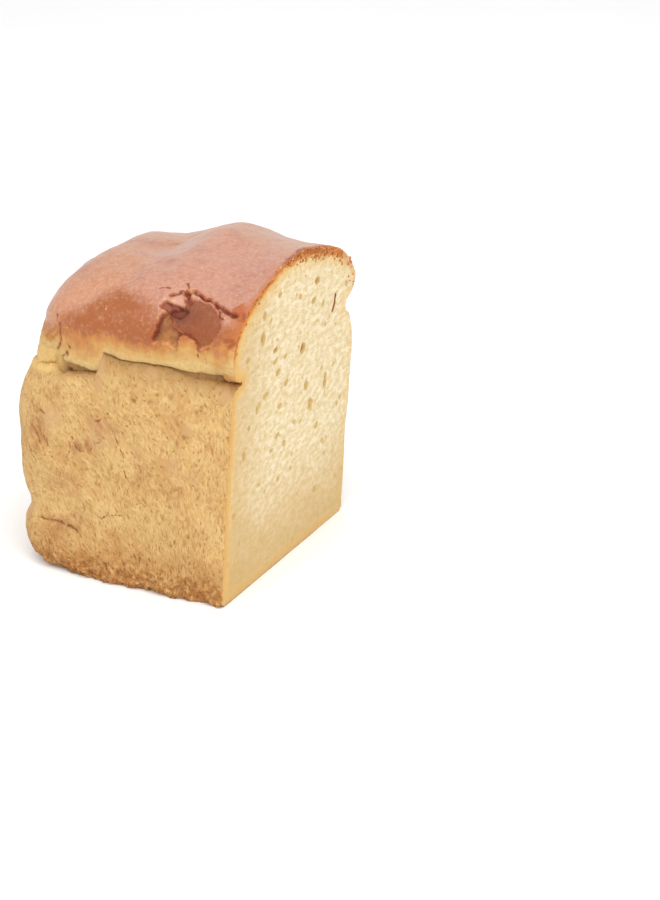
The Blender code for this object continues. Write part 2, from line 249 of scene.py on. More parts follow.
# how deep the gas pores are at each point: one pore in each cell, round or stretched, of mixed radii
def pores(across, up, size, stretch, radii, share, seed):
    depth = np.zeros_like(across)
    for cell, away in nearCells(across / size, up / (size * stretch), seed):
        radius = radii[0] + (radii[1] - radii[0]) * cellRandom(cell, seed + 2) ** 2.5
        there = cellRandom(cell, seed + 3) < share
        depth = np.maximum(depth, there * radius * smooth(1.0, 0.35, away * size / radius))
    return depth


# the patches that the wall's skin is made of: each point's patch, and how far it lies from the patch's border
def sheets(across, up, size, seed):
    nearest, second = np.full(across.shape, np.inf), np.full(across.shape, np.inf)
    owner = np.zeros(across.shape + (2,))
    for cell, away in nearCells(across / size, up / size, seed):
        closer = away < nearest
        second = np.where(closer, nearest, np.minimum(second, away))
        owner = np.where(closer[..., None], cell, owner)
        nearest = np.minimum(nearest, away)
    return owner, (second - nearest) * size / 2


# distance of each point of the skin to a path; within a closed one it is negative
def pathDistance(run, climb, path, closed=False):
    nearest = np.full(run.shape, np.inf)
    inside = np.zeros(run.shape, bool)
    corners = path + path[:1] if closed else path
    for (x0, y0), (x1, y1) in zip(corners, corners[1:]):
        alongX, alongY = x1 - x0, y1 - y0
        share = ((run - x0) * alongX + (climb - y0) * alongY) / (alongX ** 2 + alongY ** 2)
        share = np.clip(share, 0.0, 1.0)
        nearest = np.minimum(nearest, np.hypot(run - x0 - share * alongX, climb - y0 - share * alongY))
        crosses = (y0 > climb) != (y1 > climb)
        inside ^= crosses & (run < x0 + alongX * (climb - y0) / (alongY or 1.0))
    return np.where(inside, -nearest, nearest) if closed else nearest


# Torn crown and marks, in mm on the skin: (run from the cut along the front, climb from the pinch).
# A patch sinks or rises as a whole, and a tilted one sinks further along its run
patches = {
    "hollow": {"rise": -2.6,
               "outline": [(25.8, 27.8), (27.6, 26.3), (28.8, 21.3), (29.7, 17.0), (28.5, 14.3), (24.0, 16.4),
                           (21.7, 13.6), (20.2, 20.1), (23.1, 22.6), (24.9, 25.4)]},
    "plate": {"rise": -1.2, "tilt": -0.09, "middle": 16.0,
              "outline": [(21.4, 34.4), (18.4, 35.2), (13.1, 33.4), (9.2, 30.0), (7.7, 27.4), (7.7, 23.6),
                          (8.9, 20.2), (10.1, 17.9), (13.6, 16.6), (16.9, 19.9), (20.5, 21.0), (24.9, 25.4),
                          (25.8, 27.8), (25.5, 29.9), (21.7, 31.4)]},
    "pocket": {"rise": -1.7,
               "outline": [(29.4, 28.3), (29.1, 30.8), (27.9, 32.0), (26.1, 31.0), (21.7, 31.4), (20.5, 30.0),
                           (22.3, 26.7), (25.5, 27.5), (27.3, 28.4)]},
    "lump": {"rise": 0.7,
             "outline": [(6.2, 33.1), (4.7, 35.7), (3.0, 36.8), (0.9, 32.9), (0.3, 29.2), (2.4, 29.4)]},
    "dent": {"rise": -0.8,
             "outline": [(81.8, 15.4), (85.4, 12.7), (91.8, 6.5), (89.3, 4.8), (86.4, 3.7), (82.3, 10.2)]},
}
tornEdge = 0.45
# each split or fold: its path, how wide it is, how far it rises and how dark its painted crevice shade is
splits = [
    ([(31.7, 37.4), (29.1, 37.6)], 0.6, -0.5, 0.7),
    ([(27.6, 34.5), (25.5, 36.1), (24.8, 37.9), (23.4, 37.7)], 0.7, -1.0, 0.8),
    ([(23.4, 37.7), (22.3, 35.8), (21.9, 34.4)], 1.3, -2.0, 0.8),
    ([(23.4, 39.4), (24.0, 41.6)], 0.6, -0.5, 0.6),
    ([(21.4, 37.8), (18.1, 36.6), (15.7, 35.9)], 1.0, -2.0, 1.0),
    ([(15.7, 35.9), (12.5, 34.3)], 0.45, -0.8, 0.6),
    ([(12.5, 34.3), (10.4, 33.2), (6.8, 31.6), (3.3, 31.2)], 1.2, -1.6, 0.8),
    ([(10.4, 32.5), (9.8, 30.7), (8.0, 28.6)], 0.6, -0.8, 0.6),
    ([(21.4, 21.1), (18.1, 20.5), (15.7, 19.0), (13.9, 16.5)], 0.6, -0.9, 0.75),
    ([(13.9, 16.5), (14.2, 11.1)], 0.36, -0.5, 0.5),
    ([(19.6, 18.8), (20.4, 14.2), (23.6, 12.6)], 1.3, 0.8, 0.0),
    ([(29.0, 13.0), (24.4, 14.6)], 1.2, 0.7, 0.0),
    ([(84.3, 19.1), (84.0, 18.4)], 1.1, -1.3, 1.0),
    ([(81.3, 16.3), (79.7, 9.0), (80.2, 0.0), (82.3, -4.0)], 0.8, -1.3, 0.7),
    ([(78.7, -5.0), (73.5, -3.4)], 1.8, -1.6, 0.6),
    ([(92.0, -12.5), (86.0, -15.0)], 1.3, -0.9, 0.6),
    ([(91.3, -25.7), (86.9, -25.9), (79.2, -29.3)], 1.5, -0.9, 0.3),
    ([(63.9, -42.8), (54.9, -38.4)], 1.2, -0.5, 0.3),
    ([(85.9, -75.9), (75.6, -75.4), (66.4, -78.8)], 1.5, -0.9, 0.3),
    # finer ones that only the crust's surface has
    ([(21.9, 19.8), (21.4, 17.5)], 0.5, -0.6, 0.7),
    ([(74.6, 10.4), (73.0, 8.6)], 0.6, -0.7, 0.8),
    ([(74.6, 6.2), (74.2, 5.8)], 0.7, -0.8, 0.8),
    ([(76.6, 4.0), (77.4, 0.0)], 0.7, -0.8, 0.6),
    ([(12.0, 13.5), (10.6, 8.6)], 0.3, -0.2, 0.3),
]
# thin browned lines in the wall's skin, with their width; the first is a painted shadow line under the lip's
# end at the cut
streaks = [
    ([(0.0, -0.7), (6.0, -0.6)], 0.8),
    ([(65.4, -37.2), (64.2, -41.6), (61.6, -43.4), (57.3, -41.2), (54.9, -38.6), (52.1, -36.9)], 0.42),
    ([(54.3, -29.4), (52.1, -27.9)], 0.55),
    ([(49.4, -25.3), (47.3, -23.6)], 0.50),
    ([(21.4, -51.6), (19.0, -49.3)], 0.50),
    ([(37.4, -60.2), (32.9, -60.8)], 0.42),
    ([(54.0, -70.3), (50.6, -68.1), (46.9, -67.2), (43.0, -67.6)], 0.38),
    ([(91.3, -25.7), (86.9, -25.9), (79.2, -29.3)], 0.50),
    ([(85.9, -75.9), (75.6, -75.4), (66.4, -78.8)], 0.50),
    ([(43.2, -47.5), (41.5, -50.5)], 0.36),
    ([(89.0, -33.0), (84.0, -39.0), (80.5, -45.0)], 0.45),
    ([(84.5, -34.0), (79.0, -41.0), (76.0, -47.0)], 0.40),
    ([(90.0, -42.0), (86.0, -50.0)], 0.40),
    ([(66.0, -39.0), (69.0, -47.0)], 0.34),
    ([(48.0, -30.0), (44.5, -36.0), (42.5, -42.0)], 0.34),
]
# smooth closed patches in the wall's skin: (run, climb, half length, half height)
windows = [(52.5, -33.5, 8.0, 7.0), (37.0, -36.5, 3.4, 3.4), (20.8, -43.0, 3.4, 6.0), (16.9, -25.0, 3.0, 2.4),
           (52.5, -9.5, 2.6, 8.0), (31.0, -8.0, 3.0, 5.0), (66.0, -62.0, 4.5, 3.5), (76.0, -30.0, 6.0, 7.0)]
# broad browner smudges in it: (run, climb, half length, half height, strength); the first, under the lip's
# end at the cut, is partly its own brown and partly painted shade
smudges = [(2.5, -0.2, 3.6, 1.8, 1.2), (60.0, -40.5, 6.5, 3.6, 1.0), (84.0, -36.0, 6.0, 9.0, 0.8),
           (51.0, -31.0, 6.5, 5.0, 0.7), (74.0, -20.0, 5.0, 5.0, 0.6), (70.0, -58.0, 9.0, 5.0, 0.6),
           (72.0, -76.0, 12.0, 4.0, 0.8), (36.0, -44.0, 3.0, 8.0, 0.5), (22.0, -52.0, 5.0, 4.0, 0.6),
           (12.0, -68.0, 6.0, 8.0, 0.5)]
# lower edge of the brown crust along the front: runs and climbs
crustFoot = ([0.0, 3.3, 7.4, 13.1, 18.6, 25.8, 40.3, 45.9, 53.0, 60.6, 69.4, 76.1],
             [22.5, 18.5, 16.2, 17.0, 18.4, 13.8, 12.8, 14.0, 14.6, 14.8, 13.6, 13.9])
# small strokes on the crown, each with its half width: light ones paint highlights on torn edges, ember-red
# ones colour (the first also paints shade under the lip's end at the cut), dark ones paint shade in crevices,
# under flaps and under the lip
touches = {
    "light": [([(22.3, 38.2), (22.7, 38.5)], 0.8), ([(29.1, 25.0), (28.8, 26.6), (27.9, 27.4)], 0.45),
              ([(28.7, 32.3), (25.8, 32.7)], 0.40),
              ([(28.9, 14.5), (24.1, 16.0), (21.8, 13.2), (20.0, 18.6)], 0.45),
              ([(12.6, 15.9), (10.3, 17.0)], 0.35), ([(84.6, 10.6), (86.6, 8.0)], 0.5)],
    "ember": [([(0.0, 0.8), (5.0, 1.0)], 1.4), ([(4.2, 21.1), (2.4, 21.4), (0.9, 20.2), (2.4, 18.8)], 1.1),
              ([(13.8, 15.7), (10.0, 16.9)], 0.7), ([(28.4, 29.5), (24.5, 30.6)], 0.8),
              ([(0.6, 30.0), (0.8, 32.6)], 0.8)],
    "dark": [([(0.0, 0.0), (8.0, 0.1)], 0.5), ([(25.6, 29.6), (22.6, 29.2)], 1.3),
             ([(29.3, 17.6), (28.6, 21.6), (27.8, 25.6)], 0.35), ([(27.7, 31.3), (22.3, 30.9)], 0.45),
             ([(76.0, 6.0), (75.0, 5.6)], 0.4)],
}
# in mm: where the lip's edge sags, and where the baked corner's neck is filled and its lip trimmed
sag = {"run": 76.5, "reach": 4.5, "drop": 2.6}
fullNeck = {"run": 97.0, "reach": 13.0, "climbReach": 4.5, "fill": 3.0, "fillClimb": -8.0, "trim": 1.7,
            "trimClimb": 1.0}
unmarked = 10.0        # mark value far from any mark
# layers of smooth relief: size, stand and seed
doughLumps = [(0.030, 0.0009, 11), (0.012, 0.0004, 12), (0.006, 0.00018, 13)]
lipWaves = [(0.024, 0.0008, 21), (0.010, 0.0004, 22)]


# distances and fields over the skin, which its relief and its colours share, all in mm
def skinFields(grid):
    run, climb = skinChart(grid)
    chart = np.stack([run, climb], -1)
    field = {"run": run, "climb": climb}
    ragged = [values + 0.50 * grit(chart, 3.2, seed) + 0.28 * grit(chart, 1.1, seed + 7)
              for values, seed in ((run, 51), (climb, 53))]
    unevenly = 0.50 + 0.85 * smooth(-0.7, 0.8, grit(chart, 2.6, 57))
    for name, patch in patches.items():
        field[name] = pathDistance(*ragged, patch["outline"], closed=True)
    field["split"] = np.full(run.shape, unmarked)
    field["splitRelief"] = np.zeros(run.shape)
    for path, width, rise, dark in splits:
        away = pathDistance(*ragged, path) / (width * unevenly)
        field["splitRelief"] += rise * bell(away, 0.72)
        if dark > 0.0:
            field["split"] = np.minimum(field["split"], away / dark)
    field["streak"] = np.full(run.shape, unmarked)
    for path, width in streaks:
        field["streak"] = np.minimum(field["streak"], pathDistance(*ragged, path) / width)
    for name, strokes in touches.items():
        field[name] = np.zeros(run.shape)
        for path, width in strokes:
            away = pathDistance(*ragged, path) / (width * unevenly)
            field[name] = np.maximum(field[name], smooth(1.5, 0.4, away))
    wallFields(field, chart, grid)

    beyond, endward = smooth(76.0, 90.0, run), smooth(58.0, 94.0, run)
    front = np.interp(run, *crustFoot)
    flames = 1.8 * grit(chart, 7.0, 43) + 0.9 * grit(chart, 3.0, 44)
    farFront = 14.0 + 1.8 * lumps(grid, 0.014, 45)
    field["browning"] = climb + flames - front * (1.0 - beyond) - farFront * beyond
    rosy = 10.0 * bell(run - 46.0, 13.0) * smooth(26.0, 33.0, run) * smooth(48.0, 28.0, climb)
    veiled = field["browning"] - rosy + 1.4 * grit(chart, 5.0, 49)
    field["veil"] = smooth(5.0 - 11.0 * endward, 18.0 - 13.0 * endward, veiled)
    # painted shadow where the plate's left part runs under the upper flap, by the pocket
    field["flapShadow"] = bell(np.hypot(run - 23.4, (climb - 28.8) * 1.1), 5.4)
    field["edge"] = smooth(2.4 + 4.5 * smooth(46.0, 24.0, climb), 0.4, run + 1.2 * grit(chart, 3.0, 48))
    fromCut = np.minimum(run, run[:, -1:] - run)
    chipped = smooth(2.2, 0.6, fromCut + 1.1 * grit(chart, 2.0, 47))
    crownSide = np.where(grid[..., 1] > 0.0, 1.0, smooth(-20.0, -9.0, grid[..., 1] / mm))
    field["chip"] = chipped * crownSide * smooth(14.0, 22.0, climb)
    field["corner"] = bell(run - 89.0, 11.0) * smooth(-17.0, -8.0, climb) * smooth(15.0, 6.0, climb)
    return field


# the wall's patches of skin: which way their pores run, how closed they are, their shade and its smudges
def wallFields(field, chart, grid):
    def awayFrom(runTo, climbTo, halfRun, halfClimb):
        return np.hypot((bent[0] - runTo) / halfRun, (bent[1] - climbTo) / halfClimb)

    run, climb = field["run"], field["climb"]
    bent = [values + 1.5 * grit(chart, 11.0, seed) + 0.14 * grit(chart, 2.4, seed + 3)
            for values, seed in ((run, 31), (climb, 36))]
    owner, border = sheets(*bent, 12.0, 101)
    lean = 0.05 + 0.50 * smooth(4.0, 50.0, run)
    field["across"] = bent[0] - lean * (climb + 40.0)
    field["along"] = bent[1] + 0.6 * lean * run
    closed = smooth(0.84, 0.88, cellRandom(owner, 107)) * smooth(0.3, 3.0, border)
    for window in windows:
        closed = np.maximum(closed, smooth(1.25, 0.6, awayFrom(*window)))
    field["closed"] = closed * (0.72 + 0.45 * grit(chart, 3.0, 109)) * smooth(14.0, 24.0, grid[..., 2] / mm)
    ease = smooth(0.0, 2.2, border)
    field["tone"] = 0.5 + (cellRandom(owner, 111) - 0.5) * ease + 0.25 * grit(chart, 5.0, 113)
    field["smudge"] = np.zeros(run.shape)
    ragged = 0.25 * grit(chart, 2.6, 115)
    for *place, strength in smudges:
        field["smudge"] = np.maximum(field["smudge"], strength * smooth(1.5, 0.3, awayFrom(*place) + ragged))
    field["step"] = (cellRandom(owner, 117) - 0.5) * ease
    field["streak"] = field["streak"] + 0.9 * smooth(-0.1, 0.7, grit(chart, 2.0, 119))


# relief of the torn patches and splits
def tornRelief(field, chart):
    run, height = field["run"], field["splitRelief"].copy()
    for name, patch in patches.items():
        rise = patch["rise"] + patch.get("tilt", 0.0) * (run - patch.get("middle", 0.0))
        height += rise * smooth(tornEdge, -tornEdge, field[name])
    torn = np.minimum(np.minimum(field["hollow"], field["pocket"]), field["plate"])
    height += 0.32 * bell(torn - 0.8, 0.6) * smooth(-0.4, 0.5, grit(chart, 2.4, 59))
    streaky = np.stack([run * 2.2, field["climb"] * 0.7], -1)
    floor = 0.20 * grit(streaky, 3.8, 61) + 0.05 * grit(chart, 0.9, 62)
    height += smooth(0.2, -0.6, field["hollow"]) * floor
    height += smooth(0.2, -0.6, field["plate"]) * 0.16 * grit(chart, 4.0, 60)
    return height


# relief of the wall's skin, below the lip
def wallRelief(field, chart, grid):
    u, v, z = field["across"], field["along"], grid[..., 2] / mm
    openness = 1.0 - 0.88 * field["closed"]
    coarse = 1.0 + 1.1 * smooth(26.0, 3.0, z)
    pit = 0.50 * pores(u, v, 3.2, 2.2, (0.32, 0.95), 0.55, 73)
    pit = np.maximum(pit, 0.70 * pores(u, v, 1.35, 2.5, (0.22, 0.50), 0.90, 77))
    field["pit"] = pit * openness * coarse
    fibre = 0.10 * grit(np.stack([u, v * 0.34], -1), 1.4, 81) * openness
    soft = 0.24 * grit(chart, 6.0, 83) + 0.40 * field["step"]
    line = 0.22 * bell(field["streak"], 0.9)
    return fibre + soft - field["pit"] - line


# how far the skin stands out of the plain form, in mm
def skinRelief(grid, field):
    run, climb, z = field["run"], field["climb"], grid[..., 2] / mm
    chart = np.stack([run, climb], -1)
    height = sum(stand * lumps(grid, size, seed) for size, stand, seed in doughLumps) / mm
    height += tornRelief(field, chart)

    crust = 0.09 * grit(grid / mm, 4.5, 63) + 0.06 * lumps(grid, 0.0026, 65) + 0.04 * grit(chart, 1.3, 66)
    height += smooth(9.0, 18.0, climb) * crust
    height -= field["chip"] * (0.5 + 0.5 * grit(chart, 1.4, 67))

    lip = smooth(-1.0, 2.0, climb) * smooth(19.0, 11.0, climb)
    drawn = np.stack([run, climb * 0.30], -1)
    height += lip * (0.22 * grit(drawn, 2.6, 69) + 0.16 * grit(chart, 3.4, 71))
    height += field["corner"] * (0.55 * grit(chart, 3.6, 75) + 0.20 * grit(chart, 1.1, 76))

    wall = smooth(1.0, -2.5, climb)
    height += wall * wallRelief(field, chart, grid) * (1.0 - 0.6 * field["corner"])
    crumbly = smooth(13.0, 2.0, z) * wall
    height += crumbly * (1.2 * grit(grid / mm, 4.5, 85) + 1.0 * grit(grid / mm, 1.7, 86))
    return height * smooth(-0.8, 0.6, z)


# how far the lip's lower edge and what lies next to it are shifted up, in metres
def lipShift(grid, field):
    waves = sum(stand * lumps(grid[pinchRow], size, seed) for size, stand, seed in lipWaves)
    edge = np.interp(field["run"], *zip(*lipEdge)) * mm
    back = form["backEdgeRise"] * smooth(0.0, halfWidth, grid[pinchRow, :, 1])
    edge = edge - sag["drop"] * mm * bell(field["run"] - sag["run"], sag["reach"])
    return (waves + edge + back) * bell(field["climb"] * mm, form["lipReach"])


# how far the groove under the lip is filled outwards, in metres
def grooveFill(field):
    run, climb = field["run"], field["climb"]
    fromCut = np.minimum(run, run[:, -1:] - run) * mm
    ease, level = smooth(*form["grooveFillRun"], fromCut), bell(climb * mm, form["grooveReach"])
    filled = fullNeck["fill"] * bell(climb - fullNeck["fillClimb"], fullNeck["climbReach"])
    trimmed = fullNeck["trim"] * bell(climb - fullNeck["trimClimb"], fullNeck["climbReach"])
    corner = bell(run - fullNeck["run"], fullNeck["reach"])
    return form["grooveFill"] * ease * level + (filled - trimmed) * mm * corner


# the whole skin as rows of points, with its relief and the lean of the cut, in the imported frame
def loafSkin():
    grid = plainGrid()
    field = skinFields(grid)
    outward = np.cross(np.gradient(grid, axis=0), np.gradient(grid, axis=1))
    outward /= np.linalg.norm(outward, axis=2, keepdims=True)
    outward[..., 0] *= smooth(0.0, form["cutMargin"], -grid[..., 0])
    level = outward[..., :2] / np.linalg.norm(outward[..., :2], axis=2, keepdims=True)
    shift = lipShift(grid, field)
    grid = grid + outward * skinRelief(grid, field)[..., None] * mm
    grid[..., :2] += level * grooveFill(field)[..., None]
    grid[..., 2] += shift
    grid[..., 2] = np.maximum(grid[..., 2], 0.0)
    grid[..., 0] += form["cutLean"] * grid[..., 2] * smooth(endCentreX, 0.0, grid[..., 0])
    boxLow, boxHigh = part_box("loaf")
    low, high = grid.reshape(-1, 3).min(0), grid.reshape(-1, 3).max(0)
    place = [(boxLow[axis] + boxHigh[axis] - low[axis] - high[axis]) / 2 for axis in (0, 1)]
    return grid + [*place, 0.0], field, np.array([*place, 0.0])


skin, field, place = loafSkin()
field["height"] = skin[..., 2] / mm
print("skin:", skin.shape, "placed by", np.round(place / mm, 2), "mm")


# the indices of a grid of points as four-sided faces, turned by the order of rows and columns
def gridFaces(index, rowsFirst):
    a, b, c, d = index[:-1, :-1], index[1:, :-1], index[1:, 1:], index[:-1, 1:]
    faces = np.stack([a, b, c, d] if rowsFirst else [a, d, c, b], -1)
    return faces.reshape(-1, 4).tolist()


def newObject(name, data):
    made = bpy.data.objects.new(name, data)
    bpy.context.collection.objects.link(made)
    return made


# a mesh with values at its points, and sharp edges between its sharp points
def meshObject(name, points, faces, attributes, sharp, material):
    mesh = bpy.data.meshes.new(name)
    mesh.from_pydata(points.tolist(), [], faces)
    mesh.shade_smooth()
    for key, values in attributes.items():
        kind, slot = ("FLOAT_VECTOR", "vector") if values.ndim == 2 else ("FLOAT", "value")
        mesh.attributes.new(key, kind, "POINT").data.foreach_set(slot, values.astype(np.float32).ravel())
    ends = np.zeros(len(mesh.edges) * 2, np.int32)
    mesh.edges.foreach_get("vertices", ends)
    ends = ends.reshape(-1, 2)
    crease = mesh.attributes.new("sharp_edge", "BOOLEAN", "EDGE")
    crease.data.foreach_set("value", sharp[ends[:, 0]] & sharp[ends[:, 1]])
    mesh.materials.append(material)
    return newObject(name, mesh)


# sets a piece on the loaf's body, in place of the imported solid
def dress(piece):
    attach(piece, "root")
    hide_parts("loaf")
    print("piece:", piece.name, len(piece.data.polygons), "faces")


# Materials: colours are given as they look on a screen, 0 to 255
def paint(red, green, blue):
    shade = np.array([red, green, blue]) / 255.0
    linear = np.where(shade <= 0.04045, shade / 12.92, ((shade + 0.055) / 1.055) ** 2.4)
    return (*linear.tolist(), 1.0)


def node(tree, kind, inputs=None, **settings):
    made = tree.nodes.new(kind)
    for name, value in settings.items():
        setattr(made, name, value)
    for name, value in (inputs or {}).items():
        if isinstance(value, bpy.types.NodeSocket):
            tree.links.new(value, made.inputs[name])
        else:
            made.inputs[name].default_value = value
    return made


def sums(tree, operation, a, b=0.0, c=0.0):
    return node(tree, "ShaderNodeMath", {0: a, 1: b, 2: c}, operation=operation).outputs[0]


def scaleAdd(tree, value, factor, more):
    return sums(tree, "MULTIPLY_ADD", value, factor, more)


def times(tree, *values):
    total = values[0]
    for value in values[1:]:
        total = sums(tree, "MULTIPLY", total, value)
    return total


def blend(tree, share, low, high, mode="MIX"):
    mix = node(tree, "ShaderNodeMix", {0: share, 6: low, 7: high}, data_type="RGBA", blend_type=mode)
    return mix.outputs[2]


# paints laid over a shade one after another, each by its own share
def laid(tree, paints, shade, *coats):
    for share, colour in coats:
        shade = blend(tree, share, shade, paints[colour] if isinstance(colour, str) else colour)
    return shade


# a value taken smoothly from one range to another
def ramp(tree, value, low, high, start=0.0, end=1.0, kind="SMOOTHSTEP"):
    spread = {"Value": value, "From Min": low, "From Max": high, "To Min": start, "To Max": end}
    return node(tree, "ShaderNodeMapRange", spread, interpolation_type=kind).outputs[0]


def noise(tree, vector, scale, detail=3.0, rough=0.55):
    values = {"Vector": vector, "Scale": scale, "Detail": detail, "Roughness": rough}
    return node(tree, "ShaderNodeTexNoise", values).outputs[0]


# a noise that pushes each way around zero, as a vector
def unevenness(tree, vector, scale):
    pushes = node(tree, "ShaderNodeTexNoise", {"Vector": vector, "Scale": scale, "Detail": 1.0}).outputs[1]
    middle = {0: pushes, 1: (0.5, 0.5, 0.5)}
    return node(tree, "ShaderNodeVectorMath", middle, operation="SUBTRACT").outputs[0]


def separate(tree, vector):
    return node(tree, "ShaderNodeSeparateXYZ", {0: vector}).outputs


def combine(tree, x, y, z=0.0):
    return node(tree, "ShaderNodeCombineXYZ", {0: x, 1: y, 2: z}).outputs[0]


def shaderGroup(name, inputs, outputs):
    tree = bpy.data.node_groups.new(name, "ShaderNodeTree")
    for socketName, kind, value in inputs:
        socket = tree.interface.new_socket(socketName, in_out="INPUT", socket_type="NodeSocket" + kind)
        if value is not None:
            socket.default_value = value
    for socketName, kind in outputs:
        tree.interface.new_socket(socketName, in_out="OUTPUT", socket_type="NodeSocket" + kind)
    return tree, tree.nodes.new("NodeGroupInput").outputs, tree.nodes.new("NodeGroupOutput").inputs


def useGroup(tree, group, inputs):
    return node(tree, "ShaderNodeGroup", inputs, node_tree=group).outputs


# fine gas pores: 1 in a pore, 0 between them
def finePoresGroup():
    tree, given, out = shaderGroup(
        "finePores",
        [("Place", "Vector", None), ("Scale", "Float", 1.0), ("Stretch", "Float", 1.5),
         ("Reach", "Float", 0.45)],
        [("Pore", "Float")])
    at = separate(tree, given["Place"])
    joined = combine(tree, at[0], sums(tree, "DIVIDE", at[1], given["Stretch"]), at[2])
    scaled = node(tree, "ShaderNodeVectorMath", {0: joined, 3: given["Scale"]}, operation="SCALE").outputs[0]
    bent = unevenness(tree, scaled, 0.6)
    shift = {0: bent, 1: (1.1, 1.1, 1.1), 2: scaled}
    moved = node(tree, "ShaderNodeVectorMath", shift, operation="MULTIPLY_ADD").outputs[0]
    cells = node(tree, "ShaderNodeTexVoronoi", {"Vector": moved, "Scale": 1.0, "Randomness": 1.0})
    size = node(tree, "ShaderNodeSeparateColor", {0: cells.outputs[1]}).outputs[0]
    reach = times(tree, given["Reach"], ramp(tree, size, 0.0, 1.0, 0.30, 1.0, "LINEAR"))
    tree.links.new(ramp(tree, cells.outputs[0], reach, times(tree, reach, 0.35)), out["Pore"])
    return tree


# soft mottling around zero, coarse and fine, for shades and edges
def mottleGroup():
    tree, given, out = shaderGroup(
        "mottle", [("Place", "Vector", None), ("Scale", "Float", 200.0)],
        [("Broad", "Float"), ("Fine", "Float")])
    for name, more, detail in (("Broad", 1.0, 3.0), ("Fine", 4.2, 4.0)):
        values = {"Vector": given["Place"], "Scale": times(tree, given["Scale"], more), "Detail": detail}
        value = node(tree, "ShaderNodeTexNoise", values | {"Roughness": 0.6}).outputs[0]
        tree.links.new(ramp(tree, value, 0.28, 0.72, -1.0, 1.0, "LINEAR"), out[name])
    return tree


finePores = finePoresGroup()
mottle = mottleGroup()

wallPaint = {
    # pore: the darker brown laid into the pits, painted shade
    "body": paint(188, 148, 90), "pale": paint(208, 174, 116), "pore": paint(140, 88, 42),
    "window": paint(184, 144, 102), "streak": paint(130, 72, 36), "foot": paint(164, 110, 54),
    # underLipShade: painted shade under the overhanging lip
    "underLipShade": paint(152, 114, 66), "warm": paint(180, 132, 76), "corner": paint(216, 180, 114),
    "spot": paint(150, 92, 48), "crumbly": paint(134, 78, 34), "ruddy": paint(172, 124, 78),
    "smudge": paint(160, 108, 64),
}


